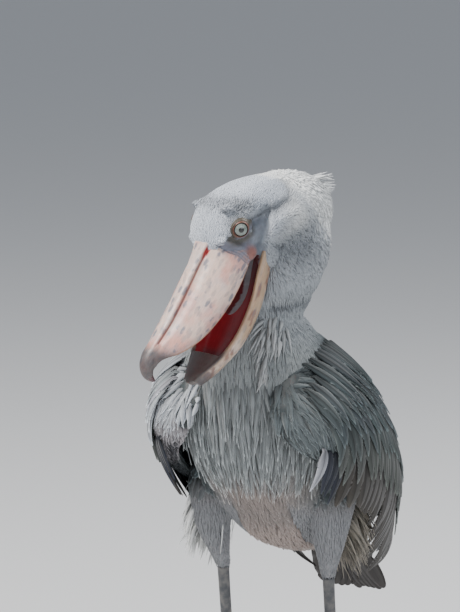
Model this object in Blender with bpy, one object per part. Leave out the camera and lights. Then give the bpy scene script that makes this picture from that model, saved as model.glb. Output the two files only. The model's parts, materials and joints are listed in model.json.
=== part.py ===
"""A shoebill at life size, standing with its bill a little open, as a still museum model.

Metres, +Z up. The bird faces -Y, its left side is +X, and it stands on the floor at Z = 0.
"""

import math
import random

import bmesh
import bpy
import numpy as np
from mathutils import Matrix, Vector
from mathutils.bvhtree import BVHTree

# Driving dimensions of the bird, in metres and degrees
GAP = 0.00045            # space kept between neighbouring pieces
LEG_X = 0.085            # half the distance between the legs
FOOT_Y = 0.020           # where the tarsi meet the toes
TOE_HEIGHT = 0.0125
HEAD_YAW = 26.0          # the head is turned to the bird's right by this much
BILL_PITCH = 45.0        # the bill points down by this much
GAPE = Vector((-0.004, -0.135, 0.948))   # middle of the line between the mouth's corners
MOUTH_ANGLE = 16.6       # how far the lower bill hangs open
JAW_HINGE = -0.030       # place of the jaw's hinge along the bill's axis
EYE = (-0.009, 0.0410, 0.0465)             # along the bill, to the side, and up
BILL_BEND = 0.035        # the bill leans to the bird's left by this much of its length
EYE_RADIUS = 0.0138
LID_RADIUS = 0.0120      # of the ring that the lids make
LID_THICKNESS = 0.0028
TAIL_ROOT = Vector((0.0, 0.262, 0.490))
TAIL_TIP = Vector((0.0, 0.432, 0.285))
# Layers of the tail: how many feathers, where they start and end, their spread, width and height
TAIL_LAYERS = [(10, 0.14, 1.0, 8.5, 0.038, 0.0), (3, 0.10, 0.64, 6.0, 0.046, 0.0150)]

RING = 20                # points round a body ring

# Each row of a body: centre x, y, z, half width, reach on the back and reach on the belly
TORSO_ROWS = [
    (0.000, 0.290, 0.462, 0.022, 0.014, 0.016),
    (0.000, 0.262, 0.488, 0.060, 0.031, 0.060),
    (0.000, 0.205, 0.522, 0.090, 0.062, 0.112),
    (0.000, 0.130, 0.580, 0.119, 0.098, 0.146),
    (0.000, 0.045, 0.655, 0.132, 0.120, 0.143),
    (0.000, -0.026, 0.728, 0.130, 0.114, 0.126),
    (0.000, -0.058, 0.790, 0.108, 0.094, 0.094),
    (0.002, -0.066, 0.832, 0.082, 0.072, 0.072),
]
NECK_ROWS = [
    (0.002, -0.066, 0.832, 0.082, 0.072, 0.072),
    (0.010, -0.066, 0.862, 0.068, 0.066, 0.062),
    (0.024, -0.060, 0.900, 0.070, 0.070, 0.056),
    (0.036, -0.050, 0.940, 0.072, 0.070, 0.056),
    (0.042, -0.044, 0.978, 0.064, 0.060, 0.050),
    (0.044, -0.044, 1.008, 0.034, 0.034, 0.034),
]
# Each row of the head, in the head's own frame: along the bill, up, half width, reach up and down
HEAD_ROWS = [
    (0.036, 0.026, 0.026, 0.024, 0.020),
    (0.024, 0.028, 0.039, 0.038, 0.030),
    (0.002, 0.030, 0.047, 0.053, 0.042),
    (-0.026, 0.027, 0.053, 0.057, 0.052),
    (-0.044, 0.020, 0.053, 0.055, 0.054),
    (-0.060, 0.009, 0.061, 0.054, 0.054),
    (-0.084, -0.012, 0.066, 0.054, 0.056),
    (-0.113, -0.047, 0.068, 0.058, 0.054),
    (-0.134, -0.080, 0.047, 0.046, 0.046),
]


def axes_of_head():
    """The head's forward, left and up directions."""
    yaw = math.radians(HEAD_YAW)
    pitch = math.radians(BILL_PITCH)
    forward = Vector((-math.sin(yaw) * math.cos(pitch), -math.cos(yaw) * math.cos(pitch), -math.sin(pitch)))
    left = Vector((math.cos(yaw), -math.sin(yaw), 0.0))
    return forward, left, forward.cross(left)


FORWARD, LEFT, UP = axes_of_head()


def at_head(along, side, up):
    """A point of the head's frame in the bird's frame."""
    return GAPE + FORWARD * along + LEFT * (side + BILL_BEND * max(along, 0.0)) + UP * up


def at_jaw(along, side, up):
    """A point of the closed lower bill, carried down to where the open bill holds it."""
    angle = math.radians(MOUTH_ANGLE)
    reach = along - JAW_HINGE
    return at_head(
        JAW_HINGE + reach * math.cos(angle) + up * math.sin(angle),
        side,
        up * math.cos(angle) - reach * math.sin(angle),
    )


def spline(rows, count):
    """A smooth curve through rows of numbers, read at evenly spaced places along it."""
    rows = np.array(rows, float)
    steps = np.linalg.norm(np.diff(rows[:, :3], axis=0), axis=1)
    knots = np.concatenate([[0.0], np.cumsum(steps)])
    slopes = np.gradient(rows, knots, axis=0)
    made = []
    for place in np.linspace(0.0, knots[-1], count):
        i = min(int(np.searchsorted(knots, place, side="right")) - 1, len(rows) - 2)
        width = knots[i + 1] - knots[i]
        t = (place - knots[i]) / width
        made.append(
            (2 * t**3 - 3 * t**2 + 1) * rows[i]
            + (t**3 - 2 * t**2 + t) * width * slopes[i]
            + (3 * t**2 - 2 * t**3) * rows[i + 1]
            + (t**3 - t**2) * width * slopes[i + 1]
        )
    return np.array(made)


def new_object(name, points, faces):
    mesh = bpy.data.meshes.new(name)
    mesh.from_pydata([tuple(p) for p in points], [], faces)
    mesh.validate()
    made = bpy.data.objects.new(name, mesh)
    bpy.context.scene.collection.objects.link(made)
    return made


def outward(made):
    """Makes a closed mesh of triangles whose faces point outwards."""
    shape = bmesh.new()
    shape.from_mesh(made.data)
    bmesh.ops.triangulate(shape, faces=shape.faces, ngon_method="EAR_CLIP")
    bmesh.ops.recalc_face_normals(shape, faces=shape.faces)
    if shape.calc_volume(signed=True) < 0:
        bmesh.ops.reverse_faces(shape, faces=shape.faces)
    shape.to_mesh(made.data)
    shape.free()
    return made


def tube(name, rings):
    """A closed body through rings of points, closed at its two ends."""
    count = len(rings[0])
    points = [p for ring in rings for p in ring]
    faces = []
    for row in range(len(rings) - 1):
        for i in range(count):
            j = (i + 1) % count
            a, b = row * count + i, row * count + j
            faces.append((a, b, b + count, a + count))
    for row in (0, len(rings) - 1):
        faces.append([row * count + i for i in range(count)])
    return outward(new_object(name, points, faces))


def round_ring(centre, side, up, width, above, below, count=RING, power=2.0):
    """Points round a closed outline with its own reach above and below."""
    ring = []
    for i in range(count):
        angle = 2 * math.pi * i / count
        across = math.copysign(abs(math.cos(angle)) ** (2 / power), math.cos(angle))
        high = math.copysign(abs(math.sin(angle)) ** (2 / power), math.sin(angle))
        ring.append(centre + side * (across * width) + up * (high * (above if high > 0 else below)))
    return ring


def body_rings(rows, count, side_at_end=None):
    """Rings of a body whose spine runs through rows, with its back on the far side from the belly."""
    read = spline(rows, count)
    rings = []
    for i, row in enumerate(read):
        before, after = read[max(i - 1, 0)], read[min(i + 1, count - 1)]
        along = Vector(after[:3] - before[:3]).normalized()
        side = Vector((1, 0, 0))
        if side_at_end is not None:
            side = side.lerp(side_at_end, i / (count - 1))
        side = (side - along * side.dot(along)).normalized()
        back = along.cross(side)
        if back.y < 0:
            back.negate()
        rings.append(round_ring(Vector(row[:3]), side, back, *row[3:6], power=2.15))
    return rings


def make_torso():
    return tube("torso", body_rings(TORSO_ROWS, 18))


def make_neck():
    rings = body_rings(NECK_ROWS, 10, LEFT)
    first = Vector((0.0, 0.0, GAP))
    rings[0] = [p + first for p in rings[0]]
    return tube("neck", rings)


def make_head():
    flat = [(a, 0.0, c, w, up, down) for a, c, w, up, down in HEAD_ROWS]
    read = spline(flat, 14)
    rings = []
    for i, row in enumerate(read):
        before, after = read[max(i - 1, 0)], read[min(i + 1, len(read) - 1)]
        step = (after - before)[:3]
        along = (FORWARD * step[0] + UP * step[2]).normalized()
        up = LEFT.cross(along).normalized()
        if up.dot(UP) < 0 and i < 4:
            up.negate()
        if i and up.dot(last_up) < 0:
            up.negate()
        last_up = up
        rings.append(round_ring(at_head(row[0], 0.0, row[2]), LEFT, up, *row[3:6], power=2.1))
    return tube("head", rings)


def bump(name, centre, along, side, up, rings=7, count=12):
    """A smooth egg-shaped swelling, given by its three half axes."""
    rows = []
    for i in range(1, rings):
        angle = math.pi * i / rings
        turns = [2 * math.pi * k / count for k in range(count)]
        rows.append([
            centre + along * math.cos(angle) + (side * math.cos(turn) + up * math.sin(turn)) * math.sin(angle)
            for turn in turns
        ])
    return tube(name, rows)


def eye_axis(sign):
    return (LEFT * (sign * 0.80) + FORWARD * 0.42 + UP * 0.30).normalized()


def make_lids(sign):
    """The ring of skin round the eye, a little thicker above than below."""
    out = eye_axis(sign)
    centre = at_head(EYE[0], sign * EYE[1], EYE[2]) + out * math.sqrt(EYE_RADIUS**2 - LID_RADIUS**2)
    level = FORWARD.cross(out).cross(out).normalized()
    high = out.cross(level).normalized()
    points, faces, count, around = [], [], 12, 5
    for i in range(count):
        turn = 2 * math.pi * i / count
        spoke = level * math.cos(turn) + high * math.sin(turn)
        thick = LID_THICKNESS * (1.0 + 0.25 * abs(math.sin(turn)))
        for k in range(around):
            roll = 2 * math.pi * k / around
            away = LID_RADIUS + thick * math.cos(roll)
            points.append(centre + spoke * away + out * (thick * math.sin(roll)))
    for i in range(count):
        for k in range(around):
            j, m = (i + 1) % count, (k + 1) % around
            faces.append((i * around + k, j * around + k, j * around + m, i * around + m))
    return outward(new_object("lids", points, faces))


CREST_ROOT = (-0.156, 0.006, -0.028)     # of the tuft at the back of the crown, in the head's frame
CREST_LOCKS = 8
CREST_LENGTH = 0.080


def make_crest():
    """The shaggy tuft at the back of the crown."""
    chance = random.Random(3)
    root = at_head(*CREST_ROOT)
    back = Vector((-FORWARD.x, -FORWARD.y, 0.0)).normalized()
    pieces = []
    for i in range(CREST_LOCKS):
        place = 2 * i / (CREST_LOCKS - 1) - 1
        low = (i % 3) * 0.011
        rise = 0.30 - 22 * low + chance.uniform(-0.1, 0.1)
        way = (back + LEFT * (0.42 * place) + Vector((0, 0, rise))).normalized()
        start = root + LEFT * (0.024 * place) - Vector((0, 0, low + 0.010 * place * place)) - way * 0.012
        long = CREST_LENGTH * (1.0 - 0.35 * place * place) * chance.uniform(0.8, 1.1)
        spine = [start + way * (long * t) - Vector((0, 0, 0.006 * t * t)) for t in (0.0, 0.3, 0.65, 1.0)]
        pieces.append(lock("crest", spine, Vector((0, 0, 1)), 0.0160, 0.0060, sides=3))
    return pieces


def finish_head(head):
    """Adds brows, lids, puffed cheeks and the crest to the head."""
    pieces = [head]
    for sign in (1, -1):
        pieces.append(make_lids(sign))
        pieces.append(bump("brow", at_head(-0.030, sign * 0.0300, 0.0655), (FORWARD + UP) * 0.0180,
                           LEFT * 0.0100, (UP - FORWARD) * 0.0052, rings=6, count=8))
        pieces.append(bump("cheek", at_head(-0.058, sign * 0.0290, -0.052), Vector((0, 0, -0.060)),
                           LEFT * 0.0400, Vector((FORWARD.x, FORWARD.y, 0)) * 0.046, rings=6, count=10))
    return joined("head", pieces + make_crest())


def surface_hit(tree, start, way):
    at, face, _, _ = tree.ray_cast(start, way)
    return at, face


def tree_of(made):
    points = [v.co for v in made.data.vertices]
    return BVHTree.FromPolygons(points, [p.vertices[:] for p in made.data.polygons])


# Breast plumes: rows from the top down as height, length, reach to the side and how many
PLUME_ROWS = [
    (0.795, 0.070, 0.074, 6), (0.752, 0.076, 0.094, 8), (0.710, 0.080, 0.100, 8),
    (0.668, 0.080, 0.096, 8), (0.632, 0.072, 0.078, 7),
]
PLUME_WIDTH = 0.0165
PLUME_THICKNESS = 0.0044


def finish_torso(torso, wings):
    """Hangs the long plumes over the breast."""
    chance = random.Random(7)
    tree = tree_of(torso)
    wing_trees = [tree_of(wing) for wing in wings]
    pieces = [torso]
    for row, (height, length, reach, count) in enumerate(PLUME_ROWS):
        for i in range(count):
            place = 2 * i / (count - 1) - 1 + chance.uniform(-0.05, 0.05)
            x = reach * place
            at, face = surface_hit(tree, Vector((x, -0.6, height + 0.014 * place * place)), Vector((0, 1, 0)))
            if at is None:
                continue
            flow = Vector((-0.10 * place, 0.0, -1.0))
            flow = (flow - face * flow.dot(face)).normalized()
            long = length * chance.uniform(0.85, 1.1)
            spine = []
            for t in (0.0, 0.33, 0.68, 1.0):
                aim = at + flow * (long * t)
                hit, out = surface_hit(tree, aim + face * 0.08, -face)
                hit, out = (aim, face) if hit is None else (hit, out)
                spine.append(hit + out * (-0.005 if t == 0.0 else 0.0020 + 0.0070 * t))
            room = min(near.find_nearest(p)[3] for near in wing_trees for p in spine)
            if room > PLUME_WIDTH / 2 + 0.002:
                pieces.append(lock("plume", spine, face, PLUME_WIDTH, PLUME_THICKNESS, sides=3))
    return joined("torso", pieces)


THIGH_LOCKS = 7


def finish_thigh(thigh, side):
    """Hangs loose feathers round the lower thigh."""
    chance = random.Random(17)
    tree = tree_of(thigh)
    pieces = [thigh]
    for row, (height, long) in enumerate(((0.488, 0.054),)):
        centre = Vector((0.083 * side, 0.027, height))
        for i in range(THIGH_LOCKS):
            turn = 2 * math.pi * (i + 0.5 * row) / THIGH_LOCKS + chance.uniform(-0.1, 0.1)
            way = Vector((math.cos(turn) * side, math.sin(turn), 0.0))
            at, face = surface_hit(tree, centre + way * 0.2, -way)
            if at is None:
                continue
            flow = Vector((0, 0, -1))
            flow = (flow - face * flow.dot(face)).normalized()
            reach = long * chance.uniform(0.8, 1.15)
            spine = [at + flow * (reach * t) + face * (-0.003 if t == 0 else 0.0008 + 0.0075 * t)
                     for t in (0.0, 0.4, 1.0)]
            pieces.append(lock("thigh_lock", spine, face, 0.0190, 0.0046, sides=3))
    return joined(thigh.name, pieces)


# Upper bill: place along the bill, height of the ridge, height of the cutting edge, half width
UPPER_ROWS = [
    (0.000, 0.064, 0.002, 0.043),
    (0.020, 0.062, -0.002, 0.0445),
    (0.050, 0.055, -0.007, 0.0460),
    (0.085, 0.049, -0.0095, 0.0465),
    (0.120, 0.0435, -0.0085, 0.0440),
    (0.155, 0.0395, -0.003, 0.0390),
    (0.185, 0.037, 0.007, 0.0290),
    (0.208, 0.035, 0.018, 0.0165),
    (0.220, 0.0325, 0.014, 0.0085),
]
RIDGE_WIDTH = 0.0095     # half the width of the ridge along the top of the bill
RIDGE_HEIGHT = 0.0065
BILL_WALL = 0.0060
NOSTRIL = (0.016, 0.030, 0.0125, 0.0016, 0.0050)    # from, to, beside the middle, width and depth


def make_nostril(sign):
    """A thin wedge that cuts one slit at the foot of the bill's ridge."""
    start, end, beside, width, depth = NOSTRIL
    rings = []
    for along in (start, (start + end) / 2, end):
        fat = 1.0 if start < along < end else 0.45
        top = read_rows([(a, r) for a, r, _, _ in UPPER_ROWS], along)[1] - RIDGE_HEIGHT
        rings.append([
            at_head(along, sign * (beside + side * width * fat), top + high)
            for side, high in ((-1, 0.004), (1, 0.004), (0.5, -depth * fat), (-0.5, -depth * fat))
        ])
    return tube("nostril", rings)


def upper_ring(row):
    """One outline of the upper bill: a raised ridge, sloping sides, cutting edges and a hollow roof."""
    along, ridge, edge, width = row
    narrow = min(1.0, width / 0.04)
    crest = RIDGE_WIDTH * (0.55 + 0.45 * narrow)
    step = RIDGE_HEIGHT * narrow
    low_side = ridge - step
    deep = low_side - edge
    half = [
        (crest * 0.45, ridge),
        (crest, ridge - 0.25 * step),
        (crest * 1.12, low_side),
        (crest + (width - crest) * 0.42, low_side - 0.20 * deep),
        (crest + (width - crest) * 0.80, low_side - 0.50 * deep),
        (width, edge + 0.20 * deep),
        (width * 0.97, edge),
        (width * 0.97 - BILL_WALL * narrow, edge + 0.003 * narrow),
        (width * 0.55, edge + 0.34 * deep),
    ]
    right = [(-side, high) for side, high in reversed(half)]
    left = half
    ring = left + [(0.0, edge + 0.26 * deep)] + right
    return [at_head(along, side, high) for side, high in ring]


def make_upper_bill():
    read = spline([(a, 0.0, 0.0, r, e, w) for a, r, e, w in UPPER_ROWS], 13)
    return tube("bill_upper", [upper_ring((r[0], r[3], r[4], r[5])) for r in read])


def make_hook():
    """The horny nail that curves down over the tip."""
    rows = [
        (0.196, 0.0, 0.0270, 0.0135, 0.0095),
        (0.212, 0.0, 0.0255, 0.0125, 0.0105),
        (0.223, 0.0, 0.0205, 0.0110, 0.0100),
        (0.2290, 0.0, 0.0105, 0.0080, 0.0070),
        (0.2290, 0.0, 0.0010, 0.0045, 0.0040),
        (0.2270, 0.0, -0.0050, 0.0016, 0.0014),
    ]
    read = spline(rows, 8)
    rings = []
    for i, row in enumerate(read):
        step = read[min(i + 1, len(read) - 1)][:3] - read[max(i - 1, 0)][:3]
        along = (FORWARD * step[0] + UP * step[2]).normalized()
        high = LEFT.cross(along).normalized()
        rings.append(round_ring(at_head(row[0], 0.0, row[2]), LEFT, high, row[3], row[4], row[4], count=10))
    return tube("hook", rings)


# Lower bill, as it lies when closed: along, upper edge, lower edge, half width outside
LOWER_ROWS = [
    (-0.012, -0.004, -0.032, 0.0485),
    (0.020, -0.006, -0.038, 0.0505),
    (0.055, -0.012, -0.043, 0.0500),
    (0.090, -0.014, -0.043, 0.0470),
    (0.125, -0.0115, -0.038, 0.0415),
    (0.155, -0.0055, -0.029, 0.0310),
    (0.182, 0.004, -0.019, 0.0185),
    (0.200, 0.010, -0.008, 0.0100),
]
RAMUS = 0.0085           # thickness of each side of the lower bill


def ramus_ring(row, sign):
    along, top, low, width = row
    inner = max(width - RAMUS, 0.0)
    ring = [
        (inner + 0.001, top - 0.001),
        (width - 0.001, top),
        (width, top - 0.006),
        (width * 0.93, (top + low) / 2 - 0.004),
        (width * 0.72, low),
        (max(width * 0.72 - RAMUS * 0.9, 0.0), low + 0.002),
        (max(inner * 0.86, 0.0), (top + low) / 2 - 0.002),
    ]
    return [at_jaw(along, sign * side, high) for side, high in ring]


def make_lower_bill():
    """Two sides that meet at the tip, with the soft pouch hung between them."""
    read = spline([(a, 0.0, 0.0, t, b, w) for a, t, b, w in LOWER_ROWS], 12)
    pieces = []
    for sign in (1, -1):
        rings = [ramus_ring((r[0], r[3], r[4], r[5]), sign) for r in read]
        pieces.append(tube(f"ramus_{sign}", rings))
    nail = [
        (0.150, 0.0, -0.012, 0.030, 0.012, 0.012),
        (0.172, 0.0, -0.006, 0.0235, 0.010, 0.012),
        (0.190, 0.0, 0.001, 0.0140, 0.009, 0.010),
        (0.200, 0.0, 0.005, 0.0050, 0.005, 0.006),
    ]
    rings = []
    for row in spline(nail, 5):
        rings.append([
            at_jaw(row[0], math.cos(2 * math.pi * i / 12) * row[3],
                   row[2] + math.sin(2 * math.pi * i / 12) * (row[4] if i < 6 else row[5]))
            for i in range(12)
        ])
    pieces.append(tube("nail", rings))
    pieces.append(make_pouch())
    return joined("bill_lower", pieces)


def make_pouch():
    """The bare skin slung between the two sides of the lower bill and back to the throat."""
    rings = []
    for row in spline([(a, 0.0, 0.0, t, b, w) for a, t, b, w in LOWER_ROWS[:7]], 8):
        along, top, low, width = row[0], row[3], row[4], row[5]
        reach = width * 0.80
        deep = low - 0.004
        ring = []
        for i in range(7):
            side = -reach + 2 * reach * i / 6
            ring.append(at_jaw(along, side, deep + 0.010 * (side / reach) ** 2))
        for i in range(7):
            side = reach - 2 * reach * i / 6
            ring.append(at_jaw(along, side * 0.94, deep + 0.0055 + 0.0105 * (side / reach) ** 2))
        rings.append(ring)
    return tube("throat_pouch", rings)


def ball(name, centre, radius, rings=7, count=14):
    """A sphere of quads and fans."""
    rows = []
    for i in range(1, rings):
        angle = math.pi * i / rings
        s, c = math.sin(angle), math.cos(angle)
        rows.append([
            centre + Vector((s * math.cos(turn), s * math.sin(turn), c)) * radius
            for turn in (2 * math.pi * j / count for j in range(count))
        ])
    return tube(name, rows)


# The folded, drooping left wing, from front to back. Each row: y, then the height and the sideways
# place of its top edge, of its widest line and of its lower edge
WING_ROWS = [
    (-0.152, 0.740, 0.080, 0.704, 0.104, 0.668, 0.100),
    (-0.120, 0.770, 0.084, 0.712, 0.132, 0.648, 0.122),
    (-0.050, 0.800, 0.086, 0.690, 0.168, 0.595, 0.146),
    (0.050, 0.776, 0.082, 0.640, 0.172, 0.535, 0.144),
    (0.150, 0.692, 0.068, 0.570, 0.154, 0.482, 0.125),
    (0.250, 0.585, 0.048, 0.490, 0.118, 0.432, 0.100),
    (0.330, 0.490, 0.035, 0.425, 0.088, 0.388, 0.080),
]
WING_THICKNESS = (0.040, 0.011)      # at the front and at the back


def read_rows(rows, place):
    """The numbers of a table at a place in its first column, with a smooth curve between rows."""
    table = np.array(rows, float)
    knots = table[:, 0]
    slopes = np.gradient(table, knots, axis=0)
    place = float(np.clip(place, knots[0], knots[-1]))
    i = min(int(np.searchsorted(knots, place, side="right")) - 1, len(rows) - 2)
    width = knots[i + 1] - knots[i]
    t = (place - knots[i]) / width
    return (
        (2 * t**3 - 3 * t**2 + 1) * table[i]
        + (t**3 - 2 * t**2 + t) * width * slopes[i]
        + (3 * t**2 - 2 * t**3) * table[i + 1]
        + (t**3 - t**2) * width * slopes[i + 1]
    )


def wing_side(y, z):
    """How far to the side the wing's outer face lies at a place seen from the side."""
    _, z_top, x_top, z_mid, x_mid, z_low, x_low = read_rows(WING_ROWS, y)
    z = max(z, z_low - 0.06)
    a = x_top * (z - z_mid) * (z - z_low) / ((z_top - z_mid) * (z_top - z_low))
    b = x_mid * (z - z_top) * (z - z_low) / ((z_mid - z_top) * (z_mid - z_low))
    c = x_low * (z - z_top) * (z - z_mid) / ((z_low - z_top) * (z_low - z_mid))
    return a + b + c


def on_wing(y, z, out=0.0):
    """A point that stands off the left wing's outer face by a distance, and the face's direction."""
    step = 0.004
    at = Vector((wing_side(y, z), y, z))
    back = Vector((wing_side(y + step, z), y + step, z)) - at
    up = Vector((wing_side(y, z + step), y, z + step)) - at
    face = back.cross(up).normalized()
    if face.x < 0:
        face.negate()
    return at + face * out, face


def make_wing_core():
    """The left wing's fleshy part, as one curved slab."""
    rings = []
    for i in range(10):
        y = -0.148 + 0.423 * i / 9
        row = read_rows(WING_ROWS, y)
        low = row[5] + 0.10 * (row[1] - row[5])
        heights = [row[1] + (low - row[1]) * j / 5 for j in range(6)]
        thick = WING_THICKNESS[0] + (WING_THICKNESS[1] - WING_THICKNESS[0]) * math.sqrt(i / 9)
        outer = [on_wing(y, z)[0] for z in heights]
        inner = [Vector((max(p.x - thick, 0.03), p.y, p.z)) for p in reversed(outer)]
        ring = outer + inner
        middle = sum(ring, Vector()) / len(ring)
        shrink = (0.45, 0.88)[i] if i < 2 else 1.0
        rings.append([middle + (p - middle) * shrink for p in ring])
    return tube("wing_core", rings)


# Tiers of wing feathers: how high on the wing they root, where the first and the last one root from
# front to back, how many, length at front and back, width, lean from the vertical, and thickness
WING_TIERS = [
    ("secondaries", 0.30, -0.085, 0.225, 9, 0.118, 0.165, 0.040, 27.0, 41.0, 0.0013),
    ("greater_coverts", 0.50, -0.100, 0.215, 9, 0.100, 0.130, 0.040, 22.0, 40.0, 0.0012),
    ("median_coverts", 0.67, -0.112, 0.190, 7, 0.085, 0.115, 0.041, 18.0, 40.0, 0.0012),
    ("lesser_coverts", 0.82, -0.108, 0.150, 6, 0.072, 0.105, 0.039, 16.0, 42.0, 0.0012),
    ("scapulars", 0.97, -0.090, 0.190, 6, 0.078, 0.110, 0.041, 30.0, 46.0, 0.0012),
]
PRIMARIES = [
    (0.150, 0.200, 36.0), (0.175, 0.205, 39.0), (0.200, 0.205, 41.5), (0.225, 0.200, 43.5),
    (0.250, 0.190, 45.0),
]
RIGHT_NARROW = 0.965     # the right wing is held a little closer to the body
VANE_STATIONS = (0.0, 0.10, 0.45, 0.76, 1.0)
VANE_TILT = 3.0          # how much each vane is turned so that its edge lies over the next one


def vane(name, spine, faces_out, width, thickness, blunt=0.30):
    """A thin feather along a spine, narrow at its root, with both faces split alike."""
    top, bottom = [], []
    for i, (at, face, t) in enumerate(zip(spine, faces_out, VANE_STATIONS)):
        along = (spine[min(i + 1, len(spine) - 1)] - spine[max(i - 1, 0)]).normalized()
        across = along.cross(face).normalized()
        wide = width / 2 * min(1.0, 0.26 + 3.4 * t)
        if t > 0.6:
            wide *= math.sqrt(max(1.0 - ((t - 0.6) / 0.4) ** 2.2, 0.0)) * (1 - blunt) + blunt
        for c in (-1, 1):
            top.append(at + across * (wide * c) + face * (thickness * 0.5))
            bottom.append(at + across * (wide * c) - face * (thickness * 0.5))
    half = len(top)
    faces = []
    for i in range(len(spine) - 1):
        a, b, c, d = 2 * i, 2 * i + 1, 2 * i + 2, 2 * i + 3
        faces += [(a, b, d), (a, d, c), (half + a, half + d, half + b), (half + a, half + c, half + d)]
        faces += [(a, c, half + c), (a, half + c, half + a), (b, half + d, d), (b, half + b, half + d)]
    for a, b in ((0, 1), (half - 1, half - 2)):
        faces += [(a, half + b, b), (a, half + a, half + b)]
    return outward(new_object(name, top + bottom, faces))


def lock(name, spine, face, width, thickness, sides=4):
    """A tapered tuft along a spine, widest near its middle and pointed at its end."""
    rings = []
    for i, at in enumerate(spine[:-1]):
        t = i / (len(spine) - 1)
        along = (spine[i + 1] - spine[max(i - 1, 0)]).normalized()
        across = along.cross(face).normalized()
        high = across.cross(along).normalized()
        swell = math.sin(math.pi * (0.22 + 0.62 * t)) ** 0.8
        rings.append([at + across * (math.cos(2 * math.pi * k / sides) * width / 2 * swell)
                      + high * (math.sin(2 * math.pi * k / sides) * thickness / 2 * swell)
                      for k in range(sides)])
    points = [p for ring in rings for p in ring] + [spine[-1]]
    faces = [tuple(range(sides))]
    for row in range(len(rings) - 1):
        for k in range(sides):
            a, b = row * sides + k, row * sides + (k + 1) % sides
            faces.append((a, b, b + sides, a + sides))
    last = (len(rings) - 1) * sides
    faces += [(last + k, last + (k + 1) % sides, len(points) - 1) for k in range(sides)]
    return outward(new_object(name, points, faces))


def tilted(face, along, degrees):
    return Matrix.Rotation(math.radians(degrees), 3, along) @ face


def wing_vane(name, y, z, length, width, lean, thickness, chance, lift=0.0):
    """A feather of the left wing, rooted in its outer face and lying on it."""
    angle = math.radians(lean)
    spine, faces_out = [], []
    for t in VANE_STATIONS:
        stand = -0.0055 if t == 0.0 else 0.0010 + 0.0120 * t
        at, face = on_wing(y + math.sin(angle) * length * t, z - math.cos(angle) * length * t, stand + lift)
        spine.append(at)
        faces_out.append(face)
    along = (spine[-1] - spine[0]).normalized()
    faces_out = [tilted(face, along, VANE_TILT + chance.uniform(-0.8, 0.8)) for face in faces_out]
    return vane(name, spine, faces_out, width, thickness)


def make_wing(side):
    chance = random.Random(11)
    pieces = [make_wing_core()]
    for name, high, y0, y1, count, l0, l1, width, lean0, lean1, thick in WING_TIERS:
        for i in range(count):
            t = i / (count - 1)
            y = y0 + (y1 - y0) * t
            row = read_rows(WING_ROWS, y)
            z = row[5] + (high + chance.uniform(-0.012, 0.012)) * (row[1] - row[5])
            length = (l0 + (l1 - l0) * t) * chance.uniform(0.93, 1.05)
            pieces.append(wing_vane(name, y, z, length, width * chance.uniform(0.95, 1.05),
                                    lean0 + (lean1 - lean0) * t, thick, chance))
    for i, (y, length, lean) in enumerate(PRIMARIES):
        row = read_rows(WING_ROWS, y)
        z = row[5] + 0.42 * (row[1] - row[5])
        lift = -0.016 - 0.0025 * i
        pieces.append(wing_vane("primary", y, z, length, 0.032, lean, 0.0015, chance, lift=lift))
    wing = joined("wing_left" if side > 0 else "wing_right", pieces)
    if side < 0:
        wing.data.transform(Matrix.Diagonal((-RIGHT_NARROW, 1, 1, 1)))
        outward(wing)
    return wing


def make_tail():
    """A short fleshy root with long overlapping feathers spread in a shallow fan."""
    chance = random.Random(5)
    flow = (TAIL_TIP - TAIL_ROOT).normalized()
    face = Vector((1, 0, 0)).cross(flow).normalized()
    if face.z < 0:
        face.negate()
    length = (TAIL_TIP - TAIL_ROOT).length
    rings = []
    for i in range(6):
        t = i / 5
        high, low = 0.020 - 0.016 * t, 0.026 - 0.012 * t
        rings.append(round_ring(TAIL_ROOT + flow * (0.30 * length * t), Vector((1, 0, 0)), face,
                                0.036 - 0.006 * t, high, low, count=14))
    pieces = [tube("tail", rings)]
    for count, start, reach, spread, width, high in TAIL_LAYERS:
        for i in range(count):
            place = 2 * i / (count - 1) - 1
            level = abs(i - (count - 1) / 2)
            way = Matrix.Rotation(math.radians(-spread * place), 3, face) @ flow
            stand = high - 0.0024 * level + (0.0012 if place > 0 else 0.0)
            root = TAIL_ROOT + flow * (start * length) + Vector((0.019 * place, 0, 0)) + face * stand
            long = length * (reach - start) * (1.0 - 0.05 * abs(place)) * chance.uniform(0.97, 1.01)
            bend = 0.0135 if high else 0.0
            spine = [root + way * (long * t) - face * (bend * t) for t in VANE_STATIONS]
            pieces.append(vane("rectrix", spine, [face] * 5, width, 0.0008, blunt=0.45))
    return joined("tail", pieces)


THIGH_ROWS = [
    (0.080, 0.045, 0.600, 0.048, 0.060, 0.060),
    (0.086, 0.036, 0.560, 0.042, 0.056, 0.056),
    (0.088, 0.028, 0.515, 0.032, 0.044, 0.042),
    (0.087, 0.026, 0.470, 0.0225, 0.028, 0.026),
    (0.085, 0.028, 0.438, 0.0135, 0.0155, 0.0145),
    (0.085, 0.029, 0.428, 0.0105, 0.0110, 0.0105),
]
RIGHT_SPREAD = 0.013     # how much further out the right thigh stands above its lower end


def make_thigh(side):
    rings = []
    for row in spline(THIGH_ROWS, 10):
        spread = 0.0 if side > 0 else RIGHT_SPREAD * min(max((row[2] - 0.428) / 0.07, 0.0), 1.0)
        centre = Vector(((row[0] + spread) * side, row[1], row[2]))
        rings.append(round_ring(centre, Vector((1, 0, 0)), Vector((0, 1, 0)), *row[3:6], count=16))
    return tube("thigh_left" if side > 0 else "thigh_right", rings)


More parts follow.
